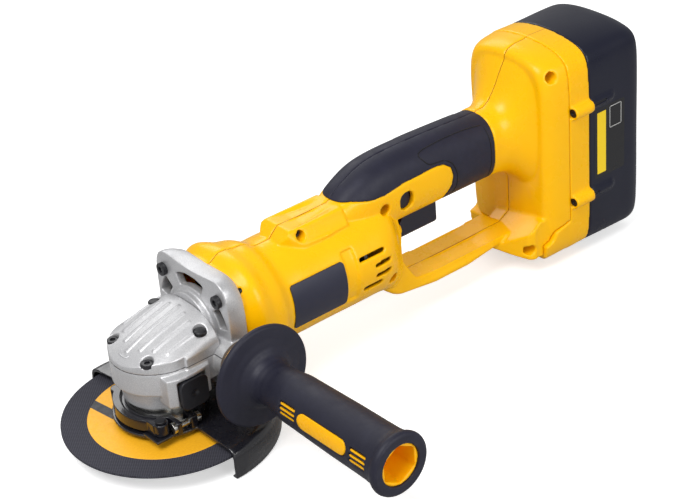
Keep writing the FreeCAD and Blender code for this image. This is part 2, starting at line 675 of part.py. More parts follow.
def make_fan():
    hub = ring_x(9.0, SHAFT_R + SEAT, 49.0, 61.0)
    disc = ring_x(FAN_R, SHAFT_R + SEAT, 59.0, 61.0)
    blades = []
    for k in range(13):
        blade = box(50.0, 59.5, -0.8, 0.8, MOTOR_Z + 14.0, MOTOR_Z + FAN_R - 0.3)
        blade.rotate(Vector(55, 0, MOTOR_Z + 22), ALONG_X, 24)
        blade.rotate(Vector(0, 0, MOTOR_Z), ALONG_X, 360 * k / 13)
        blades.append(blade)
    save("fan", hub.fuse([disc] + blades))


def make_motor_fixed():
    can = ring_x(CAN_R, CAN_R - 2.4, CAN_X0, CAN_X1)
    save("motor_can", can)
    ring = ring_x(CAN_R - 2.5, MAGNET_R, 70.0, 108.0)
    magnets = []
    for side in (-1, 1):
        y0 = min(side * 9, side * 40)
        magnets.extend(ring.common(box(60, 120, y0, y0 + 31, MOTOR_Z - 40, MOTOR_Z + 40)).Solids)
    save("field_magnets", *magnets)
    front = bearing(15.0, SHAFT_R + RUN, Vector(FLANGE_X0 - 1.5, 0, MOTOR_Z), 9.0, ALONG_X)
    save("motor_front_bearing", front)
    rear = bearing(REAR_BEARING_R, REAR_JOURNAL_R + RUN, Vector(REAR_BEARING_X0, 0, MOTOR_Z),
                   REAR_BEARING_X1 - REAR_BEARING_X0, ALONG_X)
    save("motor_rear_bearing", rear)
    save("fan_baffle", ring_x(34.0, 23.0, 62.5, 64.5).fuse(ring_x(CAN_R - 3.0, 23.0, 64.5, CAN_X0 + 1.5)))


def make_brushes():
    plate = ring_x(BARREL_R - SHELL_T - GAP, 14.0, 134.8, 137.2)
    holders = [plate]
    brushes = []
    springs = []
    for side in (-1, 1):
        y0 = min(side * 14.0, side * 27.0)
        y1 = max(side * 14.0, side * 27.0)
        sleeve = box(120.0, 134.8, y0, y1, MOTOR_Z - 5.0, MOTOR_Z + 5.0)
        hollow = box(122.0, 132.0, y0 - 1 if side < 0 else y0 - 2, y1 + 2 if side < 0 else y1 - 1.2,
                     MOTOR_Z - 3.0, MOTOR_Z + 3.0)
        holders.append(sleeve.cut(hollow))
        near = min(side * (12.0 + RUN), side * 21.0)
        far = max(side * (12.0 + RUN), side * 21.0)
        brush = box(122.1, 131.9, near, far, MOTOR_Z - 2.9, MOTOR_Z + 2.9)
        brushes.append(brush.cut(cyl_x(12.0 + RUN, 110, 140)))
        start = Vector(127.0, side * 21.1, MOTOR_Z)
        springs.append(coil(2.2, 0.35, 5, start.x, start.y, start.z, 1.0, ALONG_Y * side))
    save("brush_holders", holders[0].fuse(holders[1:]))
    save("carbon_brushes", *brushes)
    save("brush_springs", *springs)


# ---- housing ---------------------------------------------------------------------------
def barrel_row(x, half, power):
    return (x, half, MOTOR_Z - half, MOTOR_Z + half, power)


BARREL_ROWS = [
    (FLANGE_X1, FLANGE_HALF - 1.0, MOTOR_Z - 34.0, MOTOR_Z + 35.2, 3.0),
    barrel_row(46.0, BULGE_R - 1.4, 2.9),
    barrel_row(56.0, BULGE_R, 2.45),
    barrel_row(64.5, BULGE_R - 1.2, 2.08),
    barrel_row(70.5, 35.0, 2.0),
    barrel_row(76.0, BARREL_R + 0.1, 2.0),
    barrel_row(82.0, BARREL_R, 2.0),
    barrel_row(100.0, BARREL_R, 2.0),
    barrel_row(120.0, BARREL_R, 2.0),
    barrel_row(138.0, BARREL_R, 2.0),
    barrel_row(147.0, BARREL_R - 0.1, 2.0),
    (156.0, 30.3, 27.6, 92.6, 2.1),
    (165.0, 24.5, 24.0, 90.0, 2.3),
    (174.0, 17.5, 21.5, 84.0, 2.6),
]
GRIP_ROWS = [
    (129.0, 13.6, GRIP_BOTTOM, 99.4, 2.9),
    (134.0, 14.6, GRIP_BOTTOM, 101.6, 2.7),
    (141.0, 16.0, GRIP_BOTTOM, 106.7, 2.5),
    (150.0, 17.4, GRIP_BOTTOM, 111.1, 2.5),
    (160.0, 18.2, GRIP_BOTTOM, 114.5, 2.5),
    (172.0, GRIP_HALF_W, GRIP_BOTTOM, 116.1, 2.5),
    (186.0, GRIP_HALF_W, GRIP_BOTTOM, GRIP_TOP, 2.5),
    (200.0, GRIP_HALF_W, GRIP_BOTTOM, GRIP_TOP - 0.2, 2.5),
    (214.0, GRIP_HALF_W, GRIP_BOTTOM, GRIP_TOP - 0.7, 2.5),
    (228.0, GRIP_HALF_W, GRIP_BOTTOM, GRIP_TOP - 1.3, 2.5),
    (241.0, GRIP_HALF_W, GRIP_BOTTOM, GRIP_TOP - 1.9, 2.5),
    (RUBBER_X1, GRIP_HALF_W + 0.2, GRIP_BOTTOM, GRIP_TOP - 2.5, 2.5),
]
NECK_ROWS = [
    (RUBBER_X1 - 0.5, GRIP_HALF_W + 0.4, GRIP_BOTTOM - 0.2, 114.2, 2.5),
    (260.0, 18.9, 68.6, 114.8, 2.4),
    (265.0, 19.6, 67.6, 117.0, 2.3),
    (270.2, 21.0, 66.2, 123.0, 2.4),
    (275.3, 23.8, 63.4, 131.6, 2.7),
    (279.6, 27.6, 59.0, 139.0, 3.2),
    (284.0, 32.4, 53.0, 145.0, 4.2),
]
BLOCK_ROWS = [
    (281.2, 31.0, 18.5, 143.0, 8.5, 5.5),
    (282.8, 33.4, 15.0, 146.0, 8.5, 6.3),
    (286.4, 35.4, 12.0, 148.0, 9.0, 7.0),
    (292.0, 36.8, 10.0, 149.0, 9.0, 7.0),
    (JOINT_X, PACK_HALF_W - 0.2, 8.0, PACK_TOP - 0.2, 9.0, 7.0),
]
HOUSING_SCREWS = [                   # x, z, seat of the head below the middle plane, head radius
    (99.3, 94.8, 8.0, 2.4),
    (161.8, 87.7, 8.0, 3.0),
    (157.6, 44.9, 17.0, 3.0),
    (289.2, 135.7, 18.0, 3.0),
    (269.2, 18.7, 17.0, 3.0),
]
TRIGGER_PIN = (185.2, 77.5)
TRIGGER_HALF_W = 9.0
LOOP_OUTLINE = [
    (LOOP_X0, 50.0), (LOOP_X0 + 0.5, 60.0), (175.5, 65.0), (180.9, 70.0), (188.6, 71.6), (208.5, 70.6),
    (213.0, 68.5), (250.0, 68.5), (262.0, 67.2), (272.0, 65.0), (278.5, 62.0), (LOOP_X1, 57.5),
    (LOOP_X1, 34.5), (278.0, 29.5), (272.0, BAR_TOP), (190.0, BAR_TOP), (186.0, 28.2), (183.5, 31.0),
]


def rubber_outline():
    """Side outline of the rubber on the hood and the grip."""
    return [
        (131.5, 100.4), (131.0, 104.0), (134.0, 130.0), (RUBBER_X1, 130.0), (RUBBER_X1, 60.0), (213.8, 60.0),
        (213.4, 76.6), (216.6, 82.0), (218.2, 89.0), (216.4, 95.4), (211.2, 99.4), (203.0, 100.6),
        (193.5, 100.2), (178.4, 100.0), (169.9, 98.8), (161.5, 97.6), (151.4, 97.8), (140.7, 100.2),
    ]


def column_and_bar():
    outline = [
        (150.0, 70.0), (150.0, 42.0), (156.0, 33.0), (163.5, 26.0),
        (173.5, BAR_BOTTOM), (272.0, BAR_BOTTOM),
        (272.0, BAR_TOP + 2), (190.0, BAR_TOP + 2), (176.0, 70.0),
    ]
    body = prism_y(outline, -BAR_HALF_W, BAR_HALF_W)
    rim = [e for e in body.Edges if e.Length > 5 and abs(e.CenterOfMass.y) > BAR_HALF_W - 1]
    return body.makeFillet(2.6, rim)


def foot():
    """Flared foot on the right of the bar, with a rounded rib and a ramp up to the block."""
    plan = [
        (254.0, -12.0), (258.0, -BAR_HALF_W), (267.5, -33.0), (292.0, -34.5), (292.0, 12.0), (254.0, 12.0),
    ]
    low = prism_z(plan, 9.0, 36.5)
    low = low.makeFillet(3.0, [e for e in long_edges(low, UP, 8.0) if e.CenterOfMass.y < -32])
    side = [(250.0, BAR_BOTTOM), (262.0, 14.0), (270.0, 11.0), (293.0, 10.0), (293.0, 60.0), (250.0, 60.0)]
    corners = [(240.0, 20.0), (300.0, 20.0), (300.0, -50.0), (240.0, -50.0)]
    ramp = [Vector(x, y, BAR_TOP + 0.5 + 0.6 * (x - 274.0) - 0.2 * y) for x, y in corners]
    above = Part.Face(Part.makePolygon(ramp + ramp[:1])).extrude(Vector(0, 0, 80))
    rib = cyl_z(4.6, 9.0, 36.5, 272.6, -29.4)
    return fuse(low, rib).cut(above).common(prism_y(side, -50, 50))


def top_boss():
    """Raised pad on top of the barrel, with sides that flare out at its foot."""
    outline = [(83.5, 88.0), (86.5, 93.6), (93.0, 99.5), (133.0, 99.5), (133.0, 80.0), (84.0, 80.0)]
    across = [(-12.5, 100.0), (-13.2, 97.0), (-17.5, 90.0), (-17.5, 80.0), (17.5, 80.0), (17.5, 90.0),
              (13.2, 97.0), (12.5, 100.0)]
    wire = Part.makePolygon([Vector(80, y, z) for y, z in across + across[:1]])
    pad = Part.Face(wire).extrude(Vector(60, 0, 0))
    nose = [(83.3, 3.0), (84.8, 7.0), (87.6, 10.6), (91.5, 13.8), (97.0, 16.8), (106.0, 20.0)]
    plan = [(140.0, -20.0), (140.0, 20.0)] + nose[::-1] + [(x, -y) for x, y in nose]
    body = prism_y(outline, -20.0, 20.0).common(pad).common(prism_z(plan, 70, 110))
    return body.makeFillet(2.5, [e for e in long_edges(body, ALONG_X, 20.0) if e.CenterOfMass.z > 98])


def toe_space():
    """Room below the housing for the toe of the battery pack's cover."""
    outline = [
        (279.4, -5.0), (279.4, 18.0), (285.0, 19.8), (288.5, 26.0),
        (300.0, 29.5), (310.0, 31.0), (310.0, -5.0),
    ]
    return prism_y(outline, -60, 60)


def housing_outer():
    body = fuse(loft(BARREL_ROWS), top_boss(), loft(GRIP_ROWS), column_and_bar())
    body = fuse(body, loft(NECK_ROWS), loft(BLOCK_ROWS))
    body = body.cut(prism_y(LOOP_OUTLINE, -80, 80))
    return fuse(body, foot()).cut(toe_space())


def housing_hollows():
    barrel = loft(BARREL_ROWS, SHELL_T).common(box(FLANGE_X1 - 1, 160.0, -60, 60, 0, 160))
    grip = loft(GRIP_ROWS, RUBBER_T + SHELL_T).common(box(150.0, RUBBER_X1 + 1, -60, 60, 0, 160))
    neck = loft(NECK_ROWS, RUBBER_T + SHELL_T)
    block = loft(BLOCK_ROWS, SHELL_T).common(box(283.8, JOINT_X - 3.0, -60, 60, 48.0, 160))
    window = box(JOINT_X - 5, JOINT_X + 2, -18.0, 18.0, 62.0, 108.0)
    return [barrel, grip, neck, block, window]


def screw_posts(outer):
    posts = []
    for x, z, seat, r in HOUSING_SCREWS:
        posts.append(cyl_y(r + 2.2, -60, 60, x, z).common(outer))
    return posts


def bearing_rib(outer):
    return cyl_x(BARREL_R, REAR_BEARING_X0 - 0.5, REAR_BEARING_X1 + 2.5).common(outer)


def bearing_seat():
    seat = cyl_x(REAR_BEARING_R + SEAT, REAR_BEARING_X0, REAR_BEARING_X1)
    return fuse(seat, cyl_x(REAR_BEARING_R - 2.0, REAR_BEARING_X0 - 2, REAR_BEARING_X1 + 1))


def pack_hooks():
    """T-shaped hooks on the back of the housing that hold the pack."""
    hooks = []
    for y in HOOK_Y:
        for z in HOOK_Z:
            stem = box(JOINT_X - 3.0, JOINT_X + 6.0, y - 2.5, y + 2.5, z - 4.0, z + 4.0)
            head = box(JOINT_X + 4.0, JOINT_X + 6.0, y - 4.5, y + 4.5, z - 4.0, z + 4.0)
            hooks.append(stem.fuse(head))
    return hooks


HOOK_Y = (-25.0, 25.0)
HOOK_Z = (52.0, 114.0)


def vent_slots(side):
    slots = []
    rows = [(129.0, 149.0, 71.0), (140.0, 153.0, 63.3), (140.5, 153.0, 56.0), (131.0, 146.0, 50.0)]
    for x0, x1, z in rows:
        slot = box(x0, x1, min(0, side * 60), max(0, side * 60), z - 1.5, z + 1.5)
        slots.append(slot.cut(cyl_x(BARREL_R - SHELL_T - 3.0, 120, 160)))
    return slots


def side_recess(side):
    """Upright shallow groove between the name plate and the air slots."""
    band = ring_x(BARREL_R + 4.0, BARREL_R - 1.3, 118.0, 127.0)
    return band.common(box(110, 130, min(0, side * 60), max(0, side * 60), 46.0, 80.0))


def name_plate(side, clear):
    band = ring_x(BARREL_R + 0.4, BARREL_R - 0.8 - clear, 70.0, 120.0)
    y0 = min(0, side * 60)
    plate = box(77.0 - clear, 117.2 + clear, y0, y0 + 60, 46.8 - clear, 75.7 + clear)
    return band.common(plate.makeFillet(2.0, long_edges(plate, ALONG_Y, 50.0)))


def make_housing():
    outer = housing_outer()
    body = cut_all(outer, housing_hollows())
    body = body.fuse(bearing_rib(outer))
    body = body.fuse(screw_posts(outer))
    body = body.cut(bearing_seat())
    for side in (-1, 1):
        body = body.fuse(cyl_y(3.6, min(side * 9.6, side * 13.0), max(side * 9.6, side * 13.0), *TRIGGER_PIN))
    body = body.fuse(pack_hooks())
    body = body.fuse(switch_ledges())
    rubber = prism_y(rubber_outline(), -60, 60)
    body = body.cut(rubber.cut(loft(GRIP_ROWS, RUBBER_T)).common(box(120, RUBBER_X1, -60, 60, 50, 140)))
    body = body.cut(box(TRIGGER_X0 - 0.6, TRIGGER_X1 + 1.6, -9.5, 9.5, 60.0, 80.5))
    body = body.cut(cyl_y(1.5 + SEAT, -12.5, 12.5, *TRIGGER_PIN))
    body = body.cut(oval(TRAVEL_OVAL, -60, 60, GAP))
    for x, z, seat, r in HOUSING_SCREWS:
        body = body.cut(cyl_y(r + 0.6, -60, -seat, x, z))
        body = body.cut(cyl_y(r * 0.5 + SEAT, -60, 12.0, x, z))
    for side in (-1, 1):
        body = body.cut(name_plate(side, 0.1))
        body = body.cut(vent_slots(side))
        body = body.cut(side_recess(side))
    for sy in (-1, 1):
        for sz in (-1, 1):
            y = sy * FLANGE_SCREW
            z = MOTOR_Z + sz * FLANGE_SCREW
            post = cyl_x(3.8, FLANGE_X1, 57.0, y, z).common(loft(BARREL_ROWS))
            body = body.fuse(post.cut(cyl_x(FAN_R + 1.2, 40, 60)))
            body = body.cut(cyl_x(1.7 + SEAT, FLANGE_X1 - 1, FLANGE_X0 + 25.2, y, z))
    save("housing_right", body.common(box(0, BIG, -BIG, 0, -BIG, BIG)))
    save("housing_left", body.common(box(0, BIG, 0, BIG, -BIG, BIG)))


TRAVEL_OVAL = (179.5, 87.0, 5.0, 6.2)   # lock-off slider: x, z, half width, half height


def oval(shape, y0, y1, grow):
    """Upright slot-shaped prism along Y."""
    x, z, half_w, half_h = shape
    r = half_w + grow
    lift = half_h - half_w
    middle = box(x - r, x + r, y0, y1, z - lift, z + lift)
    return fuse(middle, cyl_y(r, y0, y1, x, z - lift), cyl_y(r, y0, y1, x, z + lift))


def switch_ledges():
    """Ribs inside the grip that clamp the switch."""
    ledges = []
    for side in (-1, 1):
        y0 = min(side * 10.8, side * 15.0)
        for z in (86.0, 100.0):
            ledges.append(box(196.0, 216.0, y0, y0 + 4.2, z, z + 2.0))
    return ledges


def make_grip_covers():
    rubber = loft(GRIP_ROWS).cut(loft(GRIP_ROWS, RUBBER_T))
    rubber = rubber.common(prism_y(rubber_outline(), -60, 60))
    rubber = rubber.common(box(120, RUBBER_X1 - 0.02, -60, 60, 50, 140))
    save("grip_cover_right", rubber.common(box(0, BIG, -BIG, 0, -BIG, BIG)))
    save("grip_cover_left", rubber.common(box(0, BIG, 0, BIG, -BIG, BIG)))


def make_housing_screws():
    screws = []
    for x, z, seat, r in HOUSING_SCREWS:
        screws.append(torx_screw(r, 2.2, r * 0.5, seat + 9.0, Vector(x, -seat - 2.2, z), ALONG_Y))
    save("housing_screws", *screws)


def make_name_plates():
    save("name_plate_right", name_plate(-1, 0.0))
    save("name_plate_left", name_plate(1, 0.0))


# ---- trigger group ---------------------------------------------------------------------
def make_trigger():
    w = TRIGGER_HALF_W
    side = [
        (TRIGGER_X0 + 0.6, 74.0), (TRIGGER_X0 + 0.3, 69.6),
        (TRIGGER_X0 - 2.3, 66.2), (TRIGGER_X0 - 2.9, 62.0),
        (TRIGGER_X0 - 2.3, TRIGGER_BOTTOM + 1.6), (TRIGGER_X0, TRIGGER_BOTTOM),
        (TRIGGER_X1 - 1.5, TRIGGER_BOTTOM), (TRIGGER_X1, TRIGGER_BOTTOM + 1.5),
        (TRIGGER_X1 - 0.3, 73.5), (190.0, 73.5), (189.0, 79.4), (TRIGGER_X0 + 1.5, 79.4),
    ]
    body = prism_y(side, -w, w)
    low = [e for e in long_edges(body, ALONG_X, 10.0) if e.CenterOfMass.z < 60]
    body = body.makeFillet(2.0, low) if low else body
    save("trigger", body.cut(cyl_y(1.5 + RUN, -20, 20, *TRIGGER_PIN)))
    save("trigger_pin", cyl_y(1.5, -12.4, 12.4, *TRIGGER_PIN))
    save("trigger_spring", coil(2.6, 0.35, 6, 204.0, 0.0, 73.55, 1.15, UP))
    switch = box(191.5, 222.0, -10.5, 10.5, 84.0, 103.0)
    plunger = cyl_z(2.0, 80.4, 85.0, 204.0, 0.0)
    terminals = fuse(box(222.0, 226.0, -7.0, -3.0, 90.0, 91.0), box(222.0, 226.0, 3.0, 7.0, 90.0, 91.0))
    save("switch_module", fuse(switch, plunger, terminals))
    slider = oval(TRAVEL_OVAL, -14.6, GRIP_HALF_W + LOCKOFF_TRAVEL - 1.2, 0.0)
    save("lock_off_button", slider)


# ---- battery pack ----------------------------------------------------------------------
PACK_ROWS = [
    (JOINT_X + GAP, PACK_HALF_W, PACK_BOTTOM, PACK_TOP, 9.0, 7.0),
    (310.0, PACK_HALF_W, PACK_BOTTOM, PACK_TOP - 0.1, 9.0, 7.0),
    (PACK_COVER_X1, PACK_HALF_W, PACK_BOTTOM, PACK_TOP - 0.3, 9.0, 6.8),
    (330.0, PACK_HALF_W, PACK_BOTTOM, PACK_TOP - 0.6, 9.5, 6.2),
    (341.0, PACK_HALF_W, PACK_BOTTOM, PACK_TOP - 1.0, 10.0, 5.4),
    (352.0, PACK_HALF_W, PACK_BOTTOM, PACK_TOP - 1.5, 10.5, 4.8),
    (360.0, PACK_HALF_W - 0.1, PACK_BOTTOM + 0.2, PACK_TOP - 2.2, 10.5, 4.6),
    (364.0, PACK_HALF_W - 1.0, PACK_BOTTOM + 1.2, PACK_TOP - 3.3, 10.5, 4.5),
    (366.2, PACK_HALF_W - 2.6, PACK_BOTTOM + 2.8, PACK_TOP - 5.0, 10.5, 4.5),
    (PACK_X1, PACK_HALF_W - 4.6, PACK_BOTTOM + 4.6, PACK_TOP - 6.9, 10.5, 4.5),
]
PACK_SPACE_X0 = JOINT_X + 3.6        # room inside the pack
PACK_SCREW_Z = (42.5, 107.0)
PACK_SCREW_Y = 38.4


def make_pack_shell():
    room = box(PACK_SPACE_X0, PACK_X1 - PACK_WALL, -60, 60, 0, 160)
    inner = loft(PACK_ROWS, PACK_WALL).common(room)
    shell = loft(PACK_ROWS).cut(inner)
    toe_outline = [
        (279.9, PACK_BOTTOM + 4.5), (283.5, PACK_BOTTOM), (JOINT_X + 5, PACK_BOTTOM), (JOINT_X + 5, 30.0),
        (JOINT_X + GAP, 29.3), (289.0, 25.6), (285.5, 19.4), (279.9, 17.6),
    ]
    end = (PACK_HALF_W - 0.2, PACK_BOTTOM + 0.2, PACK_TOP, 9.0, 7.0)
    sleeve = loft([(270.0,) + end, (JOINT_X + 8.0,) + end])
    toe = prism_y(toe_outline, -60.0, 60.0).common(sleeve).cut(inner)
    cover = shell.common(box(JOINT_X, PACK_COVER_X1 - 0.01, -60, 60, -10, 200)).fuse(toe)
    case = shell.common(box(PACK_COVER_X1, PACK_X1 + 1, -60, 60, -10, 200))
    for side in (-1, 1):
        for z in PACK_SCREW_Z:
            boss = cyl_x(4.6, JOINT_X + 1.5, PACK_COVER_X1 + 0.5, side * PACK_SCREW_Y, z)
            rib = cyl_x(3.4, PACK_COVER_X1 + 0.6, 338.0, side * (PACK_SCREW_Y - 1.4), z)
            rib = rib.fuse(Part.makeSphere(3.4, Vector(338.0, side * (PACK_SCREW_Y - 1.4), z)))
            cover = cover.fuse(boss)
            case = case.cut(cyl_x(4.7, PACK_COVER_X1 - 1, PACK_COVER_X1 + 0.6, side * PACK_SCREW_Y, z))
            case = case.fuse(rib)
            cover = cover.cut(cyl_x(3.1, JOINT_X, JOINT_X + 4.0, side * PACK_SCREW_Y, z))
            cover = cover.cut(cyl_x(1.4, JOINT_X, PACK_COVER_X1 + 4.0, side * PACK_SCREW_Y, z))
            case = case.cut(cyl_x(1.4, PACK_COVER_X1 - 1, 334.0, side * PACK_SCREW_Y, z))
    for y in HOOK_Y:
        for z in HOOK_Z:
            slot = box(JOINT_X - 1, JOINT_X + 4.2, y - 2.8, y + 2.8, z - 4.3, z + 4.3 + PACK_TRAVEL)
            top = z + 4.3 + PACK_TRAVEL
            window = box(JOINT_X - 1, JOINT_X + 4.2, y - 4.8, y + 4.8, top - 8.6, top)
            cover = cover.cut(slot).cut(window)
    cover = cover.cut(box(JOINT_X - 1, JOINT_X + 4.2, -14.0, 14.0, 68.0, 94.0 + PACK_TRAVEL))
    save("pack_cover", cover)
    save("pack_case", case)


def make_pack_screws():
    screws = []
    for side in (-1, 1):
        for z in PACK_SCREW_Z:
            place = Vector(JOINT_X + 2.4, side * PACK_SCREW_Y, z)
            screws.append(torx_screw(2.9, 1.6, 1.35, 28.0, place, ALONG_X))
    save("pack_screws", *screws)


def make_pack_cells():
    cells = []
    half = CELL_LEN / 2
    pitch = 2 * CELL_R + 0.3
    x0 = JOINT_X + 8.2 + CELL_R
    mid_z = (PACK_BOTTOM + PACK_TOP) / 2 - 3.7
    for col in range(2):
        for row in range(5):
            cells.append(cyl_y(CELL_R, -half, half, x0 + col * pitch, mid_z + (row - 2) * pitch))
    save("pack_cells", *cells)
    plates = []
    for side in (-1, 1):
        y0 = min(side * (half + 0.05), side * (half + 1.8))
        plate = box(x0 - CELL_R + 1.5, x0 + pitch + CELL_R - 3.5, y0, y0 + 1.75, mid_z - 57.0, mid_z + 57.0)
        for z in PACK_SCREW_Z:
            plate = plate.cut(cyl_x(5.4, JOINT_X, PACK_X1, side * PACK_SCREW_Y, z))
        plates.append(plate)
    save("cell_holders", *plates)


def make_terminals():
    plate = box(JOINT_X - 4.2, JOINT_X - 0.6, -17.7, 17.7, 62.3, 107.7)
    blades = []
    for y in (-9.0, 0.0, 9.0):
        blades.append(box(JOINT_X - 6.0, JOINT_X + 4.4, y - 0.6, y + 0.6, 72.0, 90.0))
    save("terminal_block", plate.fuse(blades))
    sockets = []
    for y in (-9.0, 0.0, 9.0):
        for side in (-1, 1):
            y0 = y + side * 1.0
            y1 = y + side * 2.6
            sockets.append(box(JOINT_X + 1.0, JOINT_X + 8.0, min(y0, y1), max(y0, y1), 70.0, 92.0))
    plate = box(JOINT_X + 6.0, JOINT_X + 8.0, -13.0, 13.0, 66.0, 120.0)
    save("pack_terminals", plate.fuse(sockets))


# ---- side handle -----------------------------------------------------------------------
HANDLE_FROM = HANDLE_BOSS_Y + GAP
HANDLE_END = HANDLE_BOSS_Y + HANDLE_LEN
DISC_Y = 62.8                        # distance of the hand guard disc from the middle plane
SPACER_LEN = 3.5


def revolve_handle(points):
    """Closed outline of (distance from the middle plane, radius), turned round the handle's axis."""
    wire = Part.makePolygon([Vector(HANDLE_X + r, -y, HANDLE_Z) for y, r in points + points[:1]])
    return Part.Face(wire).revolve(Vector(HANDLE_X, 0, HANDLE_Z), ALONG_Y, 360)


def hexagon(y, apothem):
    """Hexagon square to the handle's axis, with a corner on top."""
    r = apothem / math.cos(math.pi / 6)
    points = []
    for k in range(7):
        a = math.radians(30 + 60 * k)
        points.append(Vector(HANDLE_X + r * math.cos(a), -y, HANDLE_Z + r * math.sin(a)))
    return Part.makePolygon(points)


def make_side_handle():
    y0 = HANDLE_BOSS_Y - HANDLE_STUD_IN
    stud = cyl_y(HANDLE_STUD_R, -(HANDLE_BOSS_Y + 26.0), -y0, HANDLE_X, HANDLE_Z)
    save("side_handle_stud", stud)
    a = HANDLE_FROM + SPACER_LEN
    spacer = ring_y(13.4, HANDLE_STUD_R + SEAT, -a, -HANDLE_FROM, HANDLE_X, HANDLE_Z)
    save("side_handle_spacer", spacer)
    a = a + 0.05
    end = HANDLE_END
    core = revolve_handle([
        (a, HANDLE_STUD_R + SEAT), (a, 14.6), (a + 1.0, 15.4), (a + 7.0, 15.4), (DISC_Y - 7.0, 12.5),
        (DISC_Y - 4.0, 13.5), (DISC_Y - 0.5, 13.5), (DISC_Y - 0.5, 11.0), (DISC_Y + 12.0, 9.6),
        (end - 8.0, 12.7), (end - 1.2, 12.7), (end - 1.2, 0.0),
        (HANDLE_BOSS_Y + 26.0, 0.0), (HANDLE_BOSS_Y + 26.0, HANDLE_STUD_R + SEAT),
    ])
    hollow = Part.makeLoft([hexagon(end - 26.0, 9.2), hexagon(end, 10.5)], True)
    save("side_handle_core", core.cut(hollow))
    grip = revolve_handle([
        (DISC_Y - 0.5, 13.5 + SEAT), (DISC_Y - 3.4, 14.5), (DISC_Y - 5.0, 22.0),
        (DISC_Y - 5.0, HANDLE_DISC_R - 1.0),
        (DISC_Y - 4.0, HANDLE_DISC_R), (DISC_Y - 2.0, HANDLE_DISC_R), (DISC_Y - 1.0, HANDLE_DISC_R - 0.8),
        (DISC_Y + 0.2, 24.0), (DISC_Y + 1.6, 18.6), (DISC_Y + 4.0, 15.2), (DISC_Y + 7.0, 13.6),
        (DISC_Y + 11.0, 12.9), (DISC_Y + 16.0, 13.0), (DISC_Y + 22.0, 13.9), (DISC_Y + 30.0, 15.0),
        (end - 45.0, 16.0), (end - 24.0, 16.2), (end - 14.0, 16.4), (end - 9.0, 16.9), (end - 6.0, 17.8),
        (end - 4.2, 18.8), (end - 2.4, 19.2), (end - 0.8, 18.7), (end, 17.2),
        (end, 12.7 + SEAT), (end - 8.0, 12.7 + SEAT),
        (DISC_Y + 12.0, 9.6 + SEAT), (DISC_Y - 0.5, 11.0 + SEAT),
    ])
    save("side_handle_grip", grip)


def main():
    os.makedirs("parts", exist_ok=True)
    make_wheel()
    make_backing_flange()
    make_lock_nut()
    make_spindle()
    make_ring_gear()
    make_pinion()
    make_spindle_bearings()
    make_gear_case()
    make_gear_cover()
    make_cover_screws()
    make_case_screws()
    make_bearing_cap()
    make_spindle_lock()
    make_guard()
    make_guard_band()
    make_guard_lever()
    make_armature()
    make_fan()
    make_motor_fixed()
    make_brushes()
    make_housing()
    make_grip_covers()
    make_housing_screws()
    make_name_plates()
    make_trigger()
    make_pack_shell()
    make_pack_screws()
    make_pack_cells()
    make_terminals()
    make_side_handle()


main()
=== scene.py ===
import json
import math

import bmesh
import bpy
import numpy as np
from mathutils import Matrix, Vector
from mathutils.bvhtree import BVHTree


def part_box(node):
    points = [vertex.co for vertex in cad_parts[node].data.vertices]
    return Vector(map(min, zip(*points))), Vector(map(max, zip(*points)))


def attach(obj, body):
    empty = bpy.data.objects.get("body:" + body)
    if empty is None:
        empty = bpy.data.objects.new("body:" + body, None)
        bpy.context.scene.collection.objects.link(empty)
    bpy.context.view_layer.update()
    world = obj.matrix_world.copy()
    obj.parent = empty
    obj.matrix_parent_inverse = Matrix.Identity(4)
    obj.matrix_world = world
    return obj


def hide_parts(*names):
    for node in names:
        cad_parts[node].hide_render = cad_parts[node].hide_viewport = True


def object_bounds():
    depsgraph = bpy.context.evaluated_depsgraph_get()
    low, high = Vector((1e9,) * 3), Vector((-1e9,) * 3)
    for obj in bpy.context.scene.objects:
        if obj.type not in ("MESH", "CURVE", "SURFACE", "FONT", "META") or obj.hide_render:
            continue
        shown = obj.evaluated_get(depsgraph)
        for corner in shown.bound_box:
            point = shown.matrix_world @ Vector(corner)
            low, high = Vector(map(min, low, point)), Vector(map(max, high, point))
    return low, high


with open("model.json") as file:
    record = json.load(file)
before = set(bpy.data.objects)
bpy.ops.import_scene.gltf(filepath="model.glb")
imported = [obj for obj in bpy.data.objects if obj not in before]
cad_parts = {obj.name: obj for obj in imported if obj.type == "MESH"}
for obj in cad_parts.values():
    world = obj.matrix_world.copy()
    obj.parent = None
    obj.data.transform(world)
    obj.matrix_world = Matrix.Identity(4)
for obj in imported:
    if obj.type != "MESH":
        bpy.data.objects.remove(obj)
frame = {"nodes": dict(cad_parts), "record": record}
CAD_LO, CAD_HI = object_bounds()
NODES = frame["nodes"]
SCENE = bpy.context.scene
MM = 0.001


# ---- materials ---------------------------------------------------------------------------
COVER_JOINT_Z = 57.0                 # gear case against gear cover, where a line of painted shade is drawn on the alloy
WEAVE_PITCH = 1.9                    # glass mesh in the wheel
SHEET_PITCH = 0.7                    # armature's sheets
BAND_DEG = 8.25                      # dark band on the wheel's paper: its turn, place and half width
BAND_AT = -21.1
BAND_HALF = 3.4
BAND_FROM_Y = 5.0


